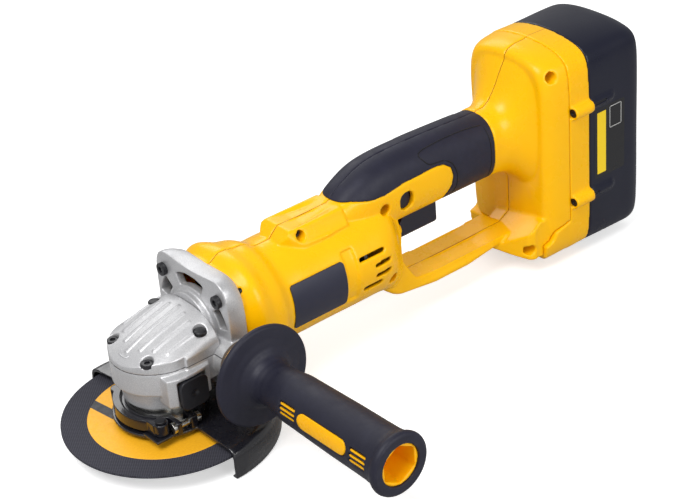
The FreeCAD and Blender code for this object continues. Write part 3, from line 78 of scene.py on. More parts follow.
class Look:
    """A Principled material whose patterns follow the object's own coordinates, in millimetres."""

    def __init__(self, name, color, rough, metallic=0.0, **sockets):
        self.mat = bpy.data.materials.new(name)
        self.mat.use_nodes = True
        self.tree = self.mat.node_tree
        self.shader = self.tree.nodes["Principled BSDF"]
        self.color = color
        self.put("Base Color", (*color, 1.0))
        self.put("Roughness", rough)
        self.put("Metallic", metallic)
        for key, value in sockets.items():
            self.put(key.replace("_", " "), value)
        coord = self.node("ShaderNodeTexCoord")
        scale = self.node("ShaderNodeVectorMath", operation="SCALE")
        scale.inputs["Scale"].default_value = 1000.0
        self.link(coord.outputs["Object"], scale.inputs[0])
        self.place = scale.outputs[0]
        self.height = None

    def node(self, kind, **settings):
        made = self.tree.nodes.new(kind)
        for key, value in settings.items():
            setattr(made, key, value)
        return made

    def link(self, a, b):
        self.tree.links.new(a, b)

    def put(self, socket, value):
        self.shader.inputs[socket].default_value = value

    def along(self, axis):
        """The X, Y or Z coordinate of each point, in millimetres."""
        split = self.node("ShaderNodeSeparateXYZ")
        self.link(self.place, split.inputs[0])
        return split.outputs[axis]

    def away(self, value, middle):
        """Distance of a value from its middle."""
        return self.math("ABSOLUTE", self.math("SUBTRACT", value, middle))

    def stretched(self, sx, sy, sz):
        made = self.node("ShaderNodeVectorMath", operation="MULTIPLY")
        self.link(self.place, made.inputs[0])
        made.inputs[1].default_value = (sx, sy, sz)
        return made.outputs[0]

    def noise(self, size, detail=3.0, rough=0.5, place=None):
        """Noise with features about this many millimetres across."""
        made = self.node("ShaderNodeTexNoise")
        made.inputs["Scale"].default_value = 1.0 / size
        made.inputs["Detail"].default_value = detail
        made.inputs["Roughness"].default_value = rough
        self.link(place or self.place, made.inputs["Vector"])
        return made.outputs["Fac"]

    def cells(self, size):
        made = self.node("ShaderNodeTexVoronoi")
        made.inputs["Scale"].default_value = 1.0 / size
        self.link(self.place, made.inputs["Vector"])
        return made.outputs["Distance"]

    def math(self, operation, a, b=0.0, c=0.0):
        made = self.node("ShaderNodeMath", operation=operation)
        for socket, value in zip(made.inputs, (a, b, c)):
            if hasattr(value, "is_linked"):
                self.link(value, socket)
            else:
                socket.default_value = value
        return made.outputs[0]

    def span(self, value, low, high, to_low, to_high):
        made = self.node("ShaderNodeMapRange")
        self.link(value, made.inputs["Value"])
        for key, number in (("From Min", low), ("From Max", high), ("To Min", to_low), ("To Max", to_high)):
            made.inputs[key].default_value = number
        return made.outputs["Result"]

    def blend(self, factor, a, b):
        made = self.node("ShaderNodeMix", data_type="RGBA")
        self.link(factor, made.inputs["Factor"])
        for index, value in ((6, a), (7, b)):
            if hasattr(value, "is_linked"):
                self.link(value, made.inputs[index])
            else:
                made.inputs[index].default_value = (*value, 1.0)
        return made.outputs[2]

    def vary(self, amount, size):
        """Slow change of the base colour, which leaves its blue as it is at the light end."""
        red, green, blue = self.color
        dark = tuple(c * (1 - amount) for c in self.color)
        light = (min(1.0, red * (1 + amount)), min(1.0, green * (1 + amount)), blue)
        out = self.blend(self.span(self.noise(size), 0.3, 0.7, 0.0, 1.0), dark, light)
        self.link(out, self.shader.inputs["Base Color"])
        return out

    def gloss(self, low, high, size, place=None):
        value = self.span(self.noise(size, 4.0, 0.6, place), 0.3, 0.7, low, high)
        self.link(value, self.shader.inputs["Roughness"])

    def relief(self, value, depth):
        """Adds a height pattern; depth is in millimetres for a full swing of the pattern."""
        scaled = self.math("MULTIPLY", value, depth * MM)
        self.height = scaled if self.height is None else self.math("ADD", self.height, scaled)

    def done(self):
        if self.height is not None:
            bump = self.node("ShaderNodeBump")
            bump.inputs["Strength"].default_value = 1.0
            bump.inputs["Distance"].default_value = 1.0
            self.link(self.height, bump.inputs["Height"])
            self.link(bump.outputs["Normal"], self.shader.inputs["Normal"])
        return self.mat


def moulded(name, color, low, high, grain, depth, **sockets):
    """Moulded plastic: fine eroded grain, uneven gloss, slight colour drift."""
    look = Look(name, color, (low + high) / 2, **sockets)
    look.vary(0.05, 35.0)
    look.gloss(low, high, 18.0)
    look.relief(look.noise(grain, 3.0, 0.6), depth)
    look.relief(look.noise(14.0, 2.0), 0.03)
    return look.done()


def steel(name, color, low, high, turned="z", **sockets):
    """Ground or turned metal: fine lines round or along the piece, and faint stains."""
    look = Look(name, color, (low + high) / 2, 1.0, **sockets)
    squeeze = {"x": (4.0, 0.25, 0.25), "y": (0.25, 4.0, 0.25), "z": (0.25, 0.25, 4.0)}[turned]
    look.vary(0.10, 6.0)
    lines = look.stretched(*squeeze)
    look.gloss(low, high, 0.8, lines)
    look.relief(look.noise(0.5, 2.0, 0.5, lines), 0.006)
    return look.done()


def cast_alloy():
    """Bead-blasted die casting: bright, finely pitted, with stains, and a dark line of painted shade at the cover's
    joint.
    """
    look = Look("cast_alloy", (0.60, 0.60, 0.61), 0.4, 0.62)
    flecks = look.span(look.noise(0.55, 4.0, 0.7), 0.35, 0.65, 0.0, 1.0)
    pale = look.blend(flecks, (0.50, 0.50, 0.515), (0.70, 0.70, 0.705))
    stain = look.span(look.noise(16.0, 4.0, 0.6), 0.42, 0.72, 0.0, 0.35)
    color = look.blend(stain, pale, (0.44, 0.44, 0.46))
    shade_line_distance = look.away(look.along("Z"), COVER_JOINT_Z)
    # painted shade: near black within about 0.4 mm of the joint at COVER_JOINT_Z, standing in for the gap's shadow
    color = look.blend(look.span(shade_line_distance, 0.12, 0.42, 1.0, 0.0), color, (0.06, 0.06, 0.065))
    look.link(color, look.shader.inputs["Base Color"])
    look.gloss(0.36, 0.52, 1.2)
    look.relief(look.noise(0.45, 3.0, 0.7), 0.035)
    look.relief(look.cells(1.3), 0.02)
    look.relief(look.noise(9.0, 3.0), 0.10)
    return look.done()


def shell_yellow(name, color):
    """Glossy moulded plastic with a little depth, and a dark orange line of painted shade at the seam between the
    halves.
    """
    look = Look(name, color, 0.3, Subsurface_Weight=0.08, Subsurface_Scale=0.003)
    look.put("Subsurface Radius", (1.0, 0.35, 0.04))
    look.put("Specular IOR Level", 0.26)
    warm = look.vary(0.035, 60.0)
    shade_line_distance = look.away(look.along("Y"), 0.0)
    # painted shade: a darker orange line within about 0.3 mm of the seam at Y = 0, standing in for the seam's shadow
    shade = tuple(c * k for c, k in zip(color, (0.42, 0.26, 0.2)))
    look.link(look.blend(look.span(shade_line_distance, 0.10, 0.34, 1.0, 0.0), warm, shade), look.shader.inputs["Base Color"])
    look.gloss(0.22, 0.36, 22.0)
    look.relief(look.noise(0.8, 3.0, 0.6), 0.006)
    look.relief(look.noise(18.0, 2.0), 0.035)
    return look.done()


def soft_rubber(name, color):
    """Overmoulded rubber: matte, fine leathery grain, scuffed lighter in places."""
    look = Look(name, color, 0.55)
    look.put("Specular IOR Level", 0.38)
    scuff = look.span(look.noise(11.0, 5.0, 0.65), 0.48, 0.75, 0.0, 0.5)
    paler = tuple(min(1.0, c * 1.6 + 0.002) for c in color)
    look.link(look.blend(scuff, color, paler), look.shader.inputs["Base Color"])
    look.gloss(0.46, 0.62, 7.0)
    look.relief(look.cells(0.55), 0.018)
    look.relief(look.noise(0.35, 2.0, 0.6), 0.012)
    return look.done()


def enamel():
    """Gloss black enamel on pressed steel, with orange peel and fine dust scratches."""
    look = Look("guard_black", (0.010, 0.010, 0.014), 0.24, 0.0, Coat_Weight=0.5, Coat_Roughness=0.08)
    scratch = look.span(look.noise(2.2, 6.0, 0.8, look.stretched(1.0, 0.12, 1.0)), 0.62, 0.74, 0.0, 0.35)
    look.link(look.blend(scratch, (0.010, 0.010, 0.014), (0.05, 0.05, 0.055)), look.shader.inputs["Base Color"])
    look.gloss(0.18, 0.36, 8.0)
    look.relief(look.noise(1.6, 2.0), 0.02)
    return look.done()


def abrasive():
    """Resin-bonded grit over a woven glass mesh."""
    look = Look("abrasive", (0.05, 0.05, 0.06), 0.85)
    waves = [look.math("SINE", look.math("MULTIPLY", look.along(axis), 2 * math.pi / WEAVE_PITCH))
             for axis in ("X", "Y")]
    product = look.math("MULTIPLY", waves[0], waves[1])
    weave = look.span(product, -1.0, 1.0, 0.0, 1.0)
    grit = look.noise(0.45, 4.0, 0.8)
    mixed = look.math("ADD", look.math("MULTIPLY", weave, 0.55), look.math("MULTIPLY", grit, 0.6))
    color = look.blend(look.span(mixed, 0.3, 0.95, 0.0, 1.0), (0.012, 0.012, 0.020), (0.065, 0.065, 0.085))
    look.link(color, look.shader.inputs["Base Color"])
    look.relief(weave, 0.16)
    look.relief(grit, 0.14)
    return look.done()


def wheel_label():
    """Printed paper: orange-yellow, with one plain dark band on its left part."""
    look = Look("wheel_label", (0.93, 0.46, 0.012), 0.5)
    turn = math.radians(BAND_DEG)
    x, y = look.along("X"), look.along("Y")
    across = look.math("ADD", look.math("MULTIPLY", x, math.cos(turn)), look.math("MULTIPLY", y, math.sin(turn)))
    band = look.span(look.away(across, BAND_AT), BAND_HALF - 0.1, BAND_HALF + 0.1, 1.0, 0.0)
    band = look.math("MULTIPLY", band, look.span(y, BAND_FROM_Y, BAND_FROM_Y + 0.2, 0.0, 1.0))
    fibre = look.span(look.noise(1.2, 5.0, 0.7), 0.35, 0.7, 0.0, 1.0)
    paper = look.blend(fibre, (0.86, 0.40, 0.010), (0.96, 0.49, 0.014))
    ink = look.blend(fibre, (0.020, 0.020, 0.024), (0.045, 0.045, 0.05))
    look.link(look.blend(band, paper, ink), look.shader.inputs["Base Color"])
    look.gloss(0.42, 0.6, 3.0)
    look.relief(look.noise(0.5, 3.0), 0.02)
    return look.done()


def laminated():
    """Stack of punched laminations along X."""
    look = Look("laminations", (0.22, 0.22, 0.23), 0.45, 1.0)
    edge = look.math("SINE", look.math("MULTIPLY", look.along("X"), 2 * math.pi / SHEET_PITCH))
    look.vary(0.15, 4.0)
    look.gloss(0.38, 0.55, 1.5)
    look.relief(edge, 0.04)
    return look.done()


LOOKS = {
    "abrasive": abrasive(),
    "machined_steel": steel("machined_steel", (0.55, 0.55, 0.56), 0.22, 0.40),
    "gear_steel": steel("gear_steel", (0.38, 0.38, 0.39), 0.30, 0.48),
    "bearing_steel": steel("bearing_steel", (0.62, 0.62, 0.63), 0.12, 0.28),
    "cast_alloy": cast_alloy(),
    "black_screw": moulded("black_screw", (0.007, 0.007, 0.010), 0.30, 0.45, 0.5, 0.02),
    "zinc_nut": steel("zinc_nut", (0.50, 0.50, 0.50), 0.18, 0.36, "x"),
    "spring_steel": steel("spring_steel", (0.45, 0.45, 0.46), 0.25, 0.4),
    "guard_black": enamel(),
    "lever_black": moulded("lever_black", (0.007, 0.007, 0.011), 0.16, 0.30, 0.9, 0.015, Coat_Weight=0.4),
    "button_black": moulded("button_black", (0.009, 0.009, 0.013), 0.40, 0.55, 0.5, 0.02),
    "laminations": laminated(),
    "copper": steel("copper", (0.72, 0.30, 0.12), 0.25, 0.42, "x"),
    "motor_steel": steel("motor_steel", (0.42, 0.42, 0.43), 0.28, 0.45, "x"),
    "magnet": moulded("magnet", (0.07, 0.07, 0.075), 0.6, 0.8, 0.6, 0.04),
    "dark_moulding": moulded("dark_moulding", (0.028, 0.028, 0.031), 0.42, 0.6, 0.6, 0.03),
    "carbon": moulded("carbon", (0.02, 0.02, 0.021), 0.55, 0.75, 0.4, 0.03),
    "yellow_shell": shell_yellow("yellow_shell", (0.97, 0.50, 0.0006)),
    "grip_rubber": soft_rubber("grip_rubber", (0.010, 0.010, 0.024)),
    "plate_black": moulded("plate_black", (0.013, 0.014, 0.034), 0.38, 0.5, 0.5, 0.012),
    "trigger_black": moulded("trigger_black", (0.005, 0.005, 0.016), 0.35, 0.5, 0.5, 0.02),
    "pack_black": moulded("pack_black", (0.006, 0.007, 0.019), 0.26, 0.38, 0.6, 0.018, Specular_IOR_Level=0.36),
    "cell_wrap": moulded("cell_wrap", (0.05, 0.20, 0.32), 0.2, 0.35, 1.2, 0.02),
    "cell_holder": moulded("cell_holder", (0.35, 0.35, 0.34), 0.4, 0.55, 0.6, 0.02),
    "contact_brass": steel("contact_brass", (0.70, 0.48, 0.19), 0.2, 0.35, "x"),
    "handle_rubber": soft_rubber("handle_rubber", (0.010, 0.010, 0.022)),
    "handle_yellow": shell_yellow("handle_yellow", (0.96, 0.46, 0.0006)),
    "spacer_brown": moulded("spacer_brown", (0.09, 0.065, 0.045), 0.4, 0.55, 0.6, 0.03),
}
PAPER_LOOK = wheel_label()
LABEL_BLACK = moulded("label_black", (0.004, 0.004, 0.006), 0.25, 0.38, 0.9, 0.006)
LABEL_YELLOW = moulded("label_yellow", (0.90, 0.62, 0.004), 0.35, 0.5, 0.9, 0.006)
LABEL_GREY = moulded("label_grey", (0.5, 0.5, 0.5), 0.35, 0.5, 0.9, 0.006)
# painted shade: near-black rubber for the grip's raised outlines, so that they read as shadowed lines
LINE_SHADE_LOOK = soft_rubber("grip_line", (0.002, 0.002, 0.005))

SLOT_OF = {row["node"]: row["material_slot"] for row in frame["record"]["subparts"]}
BODY_OF = {node: body for body, nodes in frame["record"]["behaviour"]["bodies"].items() for node in nodes}
for node, obj in NODES.items():
    obj.data.materials.clear()
    obj.data.materials.append(LOOKS[SLOT_OF[node]])


# ---- mesh tools --------------------------------------------------------------------------
FACET_STEPS = 3                      # rows that a facet's edge is divided into
CREASE_DEG = 28.0                    # sharper edges than this aren't rounded over
BULGE = 0.75                         # share of the bulge that a facet gets


def bare(mesh, name=None):
    obj = bpy.data.objects.new(name or mesh.name, mesh)
    SCENE.collection.objects.link(obj)
    return obj


def new_object(mesh, slot, body, finish=None, smooth=True, name=None):
    """A piece, named after its mesh unless a name is given, in its slot's look or a finish of its own."""
    obj = bare(mesh, name)
    mesh.materials.clear()
    mesh.materials.append(finish or LOOKS[slot])
    if smooth:
        mesh.polygons.foreach_set("use_smooth", [True] * len(mesh.polygons))
    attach(obj, body)
    return obj


def merged_copy(node, name):
    """The CAD node's mesh with its split vertices joined again."""
    mesh = NODES[node].data.copy()
    mesh.name = name
    work = bmesh.new()
    work.from_mesh(mesh)
    bmesh.ops.remove_doubles(work, verts=work.verts, dist=2e-6)
    bmesh.ops.triangulate(work, faces=work.faces)
    work.to_mesh(mesh)
    work.free()
    for layer in list(mesh.attributes):
        if layer.name == "custom_normal":
            mesh.attributes.remove(layer)
    return mesh


def positions(mesh):
    points = np.empty(len(mesh.vertices) * 3, np.float32)
    mesh.vertices.foreach_get("co", points)
    return points.reshape(-1, 3)


def curved_soup(mesh):
    """Each facet divided and bulged to follow its corner normals, so that round surfaces become round."""
    steps = FACET_STEPS
    mesh.polygons.foreach_set("use_smooth", [True] * len(mesh.polygons))
    mesh.set_sharp_from_angle(angle=math.radians(CREASE_DEG))
    mesh.update()
    mesh.calc_loop_triangles()
    count = len(mesh.loop_triangles)
    loops = np.empty(count * 3, np.int32)
    mesh.loop_triangles.foreach_get("loops", loops)
    corner = np.empty(len(mesh.loops), np.int32)
    mesh.loops.foreach_get("vertex_index", corner)
    normals = np.empty(len(mesh.loops) * 3, np.float32)
    mesh.corner_normals.foreach_get("vector", normals)
    p = positions(mesh)[corner[loops]].reshape(-1, 3, 3)
    n = normals.reshape(-1, 3)[loops].reshape(-1, 3, 3)
    lattice, index = [], {}
    for i in range(steps + 1):
        for j in range(steps + 1 - i):
            index[(i, j)] = len(lattice)
            lattice.append((1 - (i + j) / steps, i / steps, j / steps))
    bary = np.array(lattice, np.float32)
    flat = np.einsum("kb,tbc->tkc", bary, p)
    bulged = np.zeros_like(flat)
    for b in range(3):
        gap = ((flat - p[:, None, b]) * n[:, None, b]).sum(2, keepdims=True)
        bulged += bary[None, :, b, None] * (flat - gap * n[:, None, b])
    made = flat + BULGE * (bulged - flat)
    faces = []
    for i in range(steps):
        for j in range(steps - i):
            faces.append((index[(i, j)], index[(i + 1, j)], index[(i, j + 1)]))
            if i + j < steps - 1:
                faces.append((index[(i + 1, j)], index[(i + 1, j + 1)], index[(i, j + 1)]))
    face = (np.array(faces)[None] + (np.arange(count) * len(lattice))[:, None, None]).reshape(-1, 3)
    return mesh_from(mesh.name + "_soup", made.reshape(-1, 3), face)


def mesh_from(name, points, triangles):
    mesh = bpy.data.meshes.new(name)
    mesh.vertices.add(len(points))
    mesh.vertices.foreach_set("co", np.asarray(points, np.float32).ravel())
    mesh.loops.add(len(triangles) * 3)
    mesh.loops.foreach_set("vertex_index", np.asarray(triangles, np.int32).ravel())
    mesh.polygons.add(len(triangles))
    mesh.polygons.foreach_set("loop_start", np.arange(0, len(triangles) * 3, 3, dtype=np.int32))
    mesh.update(calc_edges=True)
    return mesh


def applied(obj):
    """The object's mesh with its modifiers in it."""
    graph = bpy.context.evaluated_depsgraph_get()
    mesh = bpy.data.meshes.new_from_object(obj.evaluated_get(graph))
    bpy.data.objects.remove(obj)
    return mesh


def finished(work, name):
    """The mesh of a bmesh, with its faces turned outwards."""
    bmesh.ops.recalc_face_normals(work, faces=work.faces)
    mesh = bpy.data.meshes.new(name)
    work.to_mesh(mesh)
    work.free()
    return mesh


def softened(node, voxel, turns, cutters=()):
    """A CAD node remeshed finely and eased, so that its edges are moulded or cast rather than sharp."""
    name = node + "_soft"
    mesh = merged_copy(node, name)
    if cutters:
        obj = bare(mesh)
        for cutter in cutters:
            cut = obj.modifiers.new("cut", "BOOLEAN")
            cut.operation = "DIFFERENCE"
            cut.solver = "EXACT"
            cut.object = cutter
        mesh = applied(obj)
        mesh.name = name
        for cutter in cutters:
            bpy.data.objects.remove(cutter)
    obj = bare(curved_soup(mesh))
    remesh = obj.modifiers.new("remesh", "REMESH")
    remesh.mode = "VOXEL"
    remesh.voxel_size = voxel * MM
    ease = obj.modifiers.new("ease", "SMOOTH")
    ease.factor = 0.5
    ease.iterations = turns
    mesh = applied(obj)
    mesh.name = name
    low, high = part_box(node)
    mesh.vertices.foreach_set("co", np.clip(positions(mesh), low, high).ravel())
    obj = new_object(mesh, SLOT_OF[node], BODY_OF[node], name=name)
    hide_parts(node)
    return obj


def patch(name, outline, place, h0, h1, bevel=0.0, rings=5):
    """A closed slab over a star-shaped outline; place(u, v, h) puts each of its points, in millimetres."""
    centre = np.mean(np.array(outline), axis=0)
    work = bmesh.new()

    def ring(share, inset, h):
        made = []
        for u, v in outline:
            d = np.array((u, v)) - centre
            size = np.linalg.norm(d)
            q = centre + d * share * max(0.0, size - inset) / size
            made.append(work.verts.new(Vector(place(q[0], q[1], h)) * MM))
        return made

    count = len(outline)
    rows = [ring(k / rings, bevel, h0) for k in range(1, rings)] + [ring(1.0, 0.0, h0), ring(1.0, 0.0, h1 - bevel)]
    if bevel:
        rows.append(ring(1.0, bevel * 0.3, h1 - bevel * 0.3))
    rows += [ring(k / rings, bevel, h1) for k in range(rings, 0, -1)]
    for a, b in zip(rows, rows[1:]):
        for k in range(count):
            m = (k + 1) % count
            work.faces.new((a[k], a[m], b[m], b[k]))
    for row, h in ((rows[0], h0), (rows[-1], h1)):
        middle = work.verts.new(Vector(place(centre[0], centre[1], h)) * MM)
        for k in range(count):
            work.faces.new((row[k], row[(k + 1) % count], middle))
    return finished(work, name)


def stadium(half_len, half_w, steps=10):
    """Outline with straight long sides and round ends, centred on the origin."""
    points = []
    for side in (1, -1):
        for k in range(steps + 1):
            a = math.pi * (k / steps - 0.5)
            points.append((side * (half_len - half_w + half_w * math.cos(a)), side * half_w * math.sin(a)))
    return points


def rounded(x0, x1, z0, z1, r, steps=5):
    """Outline of a rounded rectangle."""
    points = []
    for cx, cz, start in ((x1 - r, z1 - r, 0), (x0 + r, z1 - r, 90), (x0 + r, z0 + r, 180), (x1 - r, z0 + r, 270)):
        for k in range(steps + 1):
            a = math.radians(start + 90 * k / steps)
            points.append((cx + r * math.cos(a), cz + r * math.sin(a)))
    return points


def lathe(name, profile, x=0.0, y=0.0, steps=48):
    """Turned piece: profile of (radius, height), round an upright axis at x, y, in millimetres."""
    work = bmesh.new()
    rows = []
    for r, h in profile:
        row = []
        for k in range(steps if r > 0 else 1):
            a = 2 * math.pi * k / steps
            row.append(work.verts.new(Vector((x + r * math.cos(a), y + r * math.sin(a), h)) * MM))
        rows.append(row)
    for a, b in zip(rows, rows[1:]):
        for k in range(steps):
            m = (k + 1) % steps
            corners = [a[k % len(a)], a[m % len(a)], b[m % len(b)], b[k % len(b)]]
            work.faces.new(list(dict.fromkeys(corners)))
    return finished(work, name)


# ---- side handle ---------------------------------------------------------------------------
HANDLE_X, HANDLE_Z = 29.5, 51.6      # the handle's axis
SLOT_ROWS = ((-101.0, 15.15), (-161.5, 16.3))    # middle of each row of slots, and the grip's radius there
SLOT_DEGS = (23.5, 11.7, 0.0)
STRIP_TURN = 1.6                     # degrees from a slot's middle down to its yellow strip
OVAL_Y, OVAL_DEG, OVAL_R = -131.3, 13.0, 15.9


def on_handle(y_mid, deg, radius):
    """Maps (along the handle, round it, out of it) to a place on the grip's surface."""
    def place(u, v, h):
        turn = math.radians(deg) + v / radius
        reach = radius + h
        return (HANDLE_X - reach * math.cos(turn), y_mid + u, HANDLE_Z + reach * math.sin(turn))
    return place


def handle_grip():
    """The rubber grip with its slots and its oval window, where the yellow core shows."""
    cutters, strips = [], []
    for y, radius in SLOT_ROWS:
        for deg in SLOT_DEGS:
            place = on_handle(y, deg, radius)
            cutters.append(bare(patch("slot", stadium(6.9, 1.15), place, -1.7, 2.0)))
            low = on_handle(y, deg - STRIP_TURN, radius)
            strips.append((stadium(6.2, 0.62), low, -2.4, -0.55))
    place = on_handle(OVAL_Y, OVAL_DEG, OVAL_R)
    cutters.append(bare(patch("oval", stadium(20.9, 5.0), place, -0.9, 2.0, rings=8)))
    softened("side_handle_grip", 0.5, 3, cutters)
    for k, (outline, where, low, high) in enumerate(strips):
        new_object(patch("side_handle_strip_%d" % k, outline, where, low, high, 0.2), "handle_yellow", "side_handle")
    badge = patch("side_handle_badge", stadium(20.5, 4.65), place, -1.4, 0.12, 0.5, rings=10)
    new_object(badge, "handle_yellow", "side_handle")


# ---- labels --------------------------------------------------------------------------------
PACK_SIDE = 38.0
LABEL_BOX = (323.5, 351.5, 51.0, 101.5)      # x and z of the pack's label, its stripe and its frame
STRIPE_BOX = (326.0, 334.0, 54.0, 98.5)
FRAME_BOX = (337.5, 348.5, 84.0, 99.5)
FRAME_LINE = 0.5
PAPER_Z = 12.0                       # upper face of the wheel
PAPER_T = 0.09
PAPER_R0, PAPER_R1 = 20.25, 46.8


def wheel_paper():
    low, high = PAPER_Z, PAPER_Z + PAPER_T
    profile = [(PAPER_R0, low), (PAPER_R0, high), (PAPER_R1 - 0.2, high), (PAPER_R1, low), (PAPER_R0, low)]
    new_object(lathe("wheel_paper", profile, steps=160), "abrasive", "wheel_spindle", PAPER_LOOK, smooth=False)


def pack_label():
    """A black panel with a blank stripe and a thin frame, on each side of the pack."""
    x0, x1, z0, z1 = FRAME_BOX
    lines = ((x0, x1, z1 - FRAME_LINE, z1), (x0, x1, z0, z0 + FRAME_LINE),
             (x0, x0 + FRAME_LINE, z0, z1), (x1 - FRAME_LINE, x1, z0, z1))
    for side, name in ((-1, "right"), (1, "left")):
        def place(u, v, h):
            return (u, side * (PACK_SIDE + h), v)

        def flat_print(part, box, corner, height, finish):
            mesh = patch(part, rounded(*box, corner), place, -0.05, height)
            new_object(mesh, "pack_black", "pack", finish, smooth=False)

        flat_print("pack_label_" + name, LABEL_BOX, 1.2, 0.10, LABEL_BLACK)
        flat_print("pack_label_stripe_" + name, STRIPE_BOX, 0.4, 0.16, LABEL_YELLOW)
        for k, box in enumerate(lines):
            flat_print("pack_label_line_%s_%d" % (name, k), box, 0.1, 0.16, LABEL_GREY)


# ---- grip and cover details ----------------------------------------------------------------
def smooth_path(points, step):
    """Points along a rounded line through the given ones, about step millimetres apart."""
    p = [Vector(q) for q in points]
    p = [2 * p[0] - p[1]] + p + [2 * p[-1] - p[-2]]
    path = []
    for a, b, c, d in zip(p, p[1:], p[2:], p[3:]):
        count = max(2, int((c - b).length / step))
        for k in range(count):
            t = k / count
            path.append(0.5 * (2 * b + (c - a) * t + (2 * a - 5 * b + 4 * c - d) * t * t
                               + (3 * b - a - 3 * c + d) * t * t * t))
    return path + [p[-2]]


def bead(name, points, shell, toward, radius, slot, finish=None):
    """Low round bead laid on a shell: the line's points are dropped on it along the given direction."""
    mesh = SHELLS[shell].data
    tree = BVHTree.FromPolygons([v.co for v in mesh.vertices], [p.vertices[:] for p in mesh.polygons])
    toward = Vector(toward)
    track = []
    for q in smooth_path(points, BEAD_STEP):
        hit, normal, _, _ = tree.ray_cast(q * MM - toward * 0.2, toward)
        if hit is not None:
            track.append((hit, normal))
    work = bmesh.new()
    rows = []
    last = len(track) - 1
    for k, (hit, normal) in enumerate(track):
        ahead = track[min(k + 1, last)][0] - track[max(k - 1, 0)][0]
        side = ahead.cross(normal).normalized()
        width = radius * min(1.0, 0.25 + 0.4 * min(k, last - k))
        row = []
        for j in range(BEAD_SIDES):
            a = 2 * math.pi * j / BEAD_SIDES
            offset = side * math.cos(a) * width + normal * (0.8 * width * math.sin(a) - 0.1 * radius)
            row.append(work.verts.new(hit + offset * MM))
        rows.append(row)
    for a, b in zip(rows, rows[1:]):
        for j in range(BEAD_SIDES):
            m = (j + 1) % BEAD_SIDES
            work.faces.new((a[j], a[m], b[m], b[j]))
    work.faces.new(rows[0])
    work.faces.new(rows[-1])
    new_object(finished(work, name), slot, BODY_OF[shell], finish)


def grip_lines():
    """Raised outlines on both sides of the rubber: the palm pad, the window's rim and the rear rim; their near-black
    rubber is painted shade along the lines.
    """
    for side, name in ((-1, "right"), (1, "left")):
        for part, line in GRIP_LINES.items():
            points = [(x, 0, z) for x, z in line]
            bead("grip_%s_%s" % (part, name), points, "grip_cover_" + name, (0, -side, 0), GRIP_LINE_R,
                 "grip_rubber", LINE_SHADE_LOOK)


BEAD_STEP = 1.2
BEAD_SIDES = 8
GRIP_LINE_R = 0.45
GRIP_LINES = {                       # x and z on the rubber's sides
    "pad": [(248.4, 110.8), (235.5, 112.2), (220.0, 112.9), (204.5, 112.9), (196.6, 112.4), (193.8, 111.0),
            (196.0, 107.4), (199.5, 104.0), (204.5, 103.1), (212.0, 102.3)],
    "window_rim": [(212.0, 102.3), (217.8, 97.5), (221.1, 89.5), (221.2, 81.0), (219.0, 74.5)],
    "rear_rim": [(249.0, 110.5), (249.9, 105.4), (250.5, 97.5), (250.6, 87.8), (250.3, 80.5), (250.3, 74.5)],
}
BRACKET_R = 0.55
BRACKET = [(-20.6, 4.0, 0), (-23.0, 3.6, 0), (-23.6, 2.0, 0), (-23.6, -2.0, 0), (-23.0, -3.6, 0), (-20.6, -4.0, 0)]
PLUG_X, PLUG_Y = 15.8, 22.6          # rear cover screws


def plug(name, x, y):
    """Smooth domed plug over a rear cover screw."""
    profile = [(0.0, 70.9), (3.8, 70.9), (3.8, 71.3), (3.5, 71.75), (2.4, 72.0), (1.2, 72.08), (0.0, 72.1)]
    new_object(lathe(name, profile, x, y), "black_screw", "tool")


SOFT = {                             # voxel size in millimetres, and turns of easing
    "housing_right": (0.8, 4), "housing_left": (0.8, 4), "pack_cover": (0.9, 4), "pack_case": (0.9, 4),
    "gear_case": (0.6, 3), "gear_cover": (0.5, 3), "grip_cover_right": (0.6, 4), "grip_cover_left": (0.6, 4),
    "wheel_guard": (0.6, 3), "guard_band": (0.4, 3), "guard_lever": (0.4, 4), "trigger": (0.5, 3),
    "lock_off_button": (0.5, 3), "spindle_lock_button": (0.4, 3), "bearing_cap": (0.5, 2),
    "side_handle_spacer": (0.5, 3), "side_handle_core": (0.6, 2), "gear_cover_screws": (0.2, 2),
    "gear_case_screws": (0.22, 2), "housing_screws": (0.25, 2), "pack_screws": (0.22, 2),
    "guard_clamp_bolt": (0.2, 2), "guard_clamp_nut": (0.2, 2), "guard_lever_pin": (0.2, 2),
}
SHELLS = {node: softened(node, voxel, turns) for node, (voxel, turns) in SOFT.items()}
handle_grip()
grip_lines()
bead("gear_cover_bracket", BRACKET, "gear_cover", (0, 0, -1), BRACKET_R, "cast_alloy")
wheel_paper()
pack_label()
plug("gear_cover_plug_right", PLUG_X, -PLUG_Y)
plug("gear_cover_plug_left", PLUG_X, PLUG_Y)


# ---- light, floor and camera ---------------------------------------------------------------
def floor():
    """White paper: bright and shadowed for the camera, duller for the light that it throws back."""
    look = Look("floor_paper", (0.45, 0.45, 0.45), 0.9)
    look.put("Specular IOR Level", 0.05)
    look.relief(look.noise(3.0, 2.0), 0.01)
    mat = look.done()
    path = look.node("ShaderNodeLightPath")
    seen = look.node("ShaderNodeBsdfDiffuse")
    seen.inputs["Color"].default_value = (0.8, 0.8, 0.8, 1)
    lift = look.node("ShaderNodeEmission")
    lift.inputs["Color"].default_value = (1, 1, 1, 1)
    lift.inputs["Strength"].default_value = 0.52
    both = look.node("ShaderNodeAddShader")
    look.link(seen.outputs[0], both.inputs[0])
    look.link(lift.outputs[0], both.inputs[1])
    mixed = look.node("ShaderNodeMixShader")
    look.link(path.outputs["Is Camera Ray"], mixed.inputs[0])
    look.link(look.shader.outputs[0], mixed.inputs[1])
    look.link(both.outputs[0], mixed.inputs[2])
    look.link(mixed.outputs[0], look.tree.nodes["Material Output"].inputs["Surface"])
    mesh = bpy.data.meshes.new("floor")
    z = CAD_LO.z - 0.0004
    mesh.from_pydata([(-6, -6, z), (6, -6, z), (6, 6, z), (-6, 6, z)], [], [(0, 1, 2, 3)])
    mesh.materials.append(mat)
    obj = bpy.data.objects.new("floor", mesh)
    SCENE.collection.objects.link(obj)


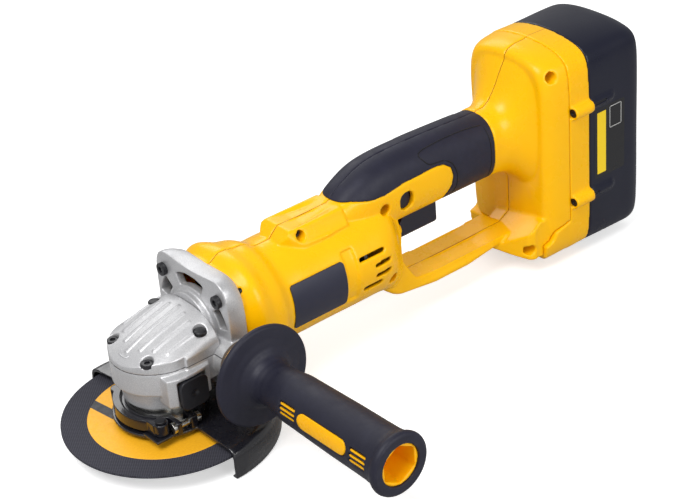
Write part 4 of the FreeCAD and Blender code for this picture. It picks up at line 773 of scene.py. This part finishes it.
def area(name, place, target, size, power):
    light = bpy.data.lights.new(name, "AREA")
    light.shape = "RECTANGLE"
    light.size, light.size_y = size
    light.energy = power
    obj = bpy.data.objects.new(name, light)
    obj.location = place
    obj.rotation_euler = (Vector(target) - Vector(place)).to_track_quat("-Z", "Y").to_euler()
    SCENE.collection.objects.link(obj)


def surroundings():
    world = bpy.data.worlds.new("studio")
    world.use_nodes = True
    back = world.node_tree.nodes["Background"]
    back.inputs["Color"].default_value = (1, 1, 1, 1)
    back.inputs["Strength"].default_value = 0.42
    SCENE.world = world
    centre = (CAD_LO + CAD_HI) / 2
    area("key", (-0.65, -0.25, 1.25), centre, (0.7, 0.7), 15.0)
    area("fill", (0.30, -1.3, 0.6), centre, (0.9, 0.6), 9.0)
    area("rim", (0.5, 1.1, 0.9), centre, (1.0, 0.5), 5.0)


VIEW_AZIMUTH, VIEW_DOWN = 37.80, 30.44       # degrees from +Y towards +X, and below the horizon
VIEW_ROLL = 0.0807165                # radians
VIEW_LENS = 97.25
WHEEL_CENTRE = Vector((0.0, 0.0, 12.0))
WHEEL_SEEN_AT = Vector((-108.063, 95.053, 1113.624))     # right of, below and in front of the camera


def camera():
    az, down = math.radians(VIEW_AZIMUTH), math.radians(VIEW_DOWN)
    away = Vector((math.sin(az) * math.cos(down), math.cos(az) * math.cos(down), -math.sin(down)))
    level = Vector((math.cos(az), -math.sin(az), 0))
    below = away.cross(level)
    right = math.cos(VIEW_ROLL) * level + math.sin(VIEW_ROLL) * below
    lower = -math.sin(VIEW_ROLL) * level + math.cos(VIEW_ROLL) * below
    place = WHEEL_CENTRE - Matrix((right, lower, away)).transposed() @ WHEEL_SEEN_AT
    data = bpy.data.cameras.new("camera")
    data.lens = VIEW_LENS
    data.sensor_width = 36.0
    obj = bpy.data.objects.new("camera", data)
    SCENE.collection.objects.link(obj)
    matrix = Matrix((right, -lower, -away)).transposed().to_4x4()
    matrix.translation = place * MM
    obj.matrix_world = matrix
    SCENE.camera = obj


floor()
surroundings()
camera()
SCENE.view_settings.view_transform = "Standard"
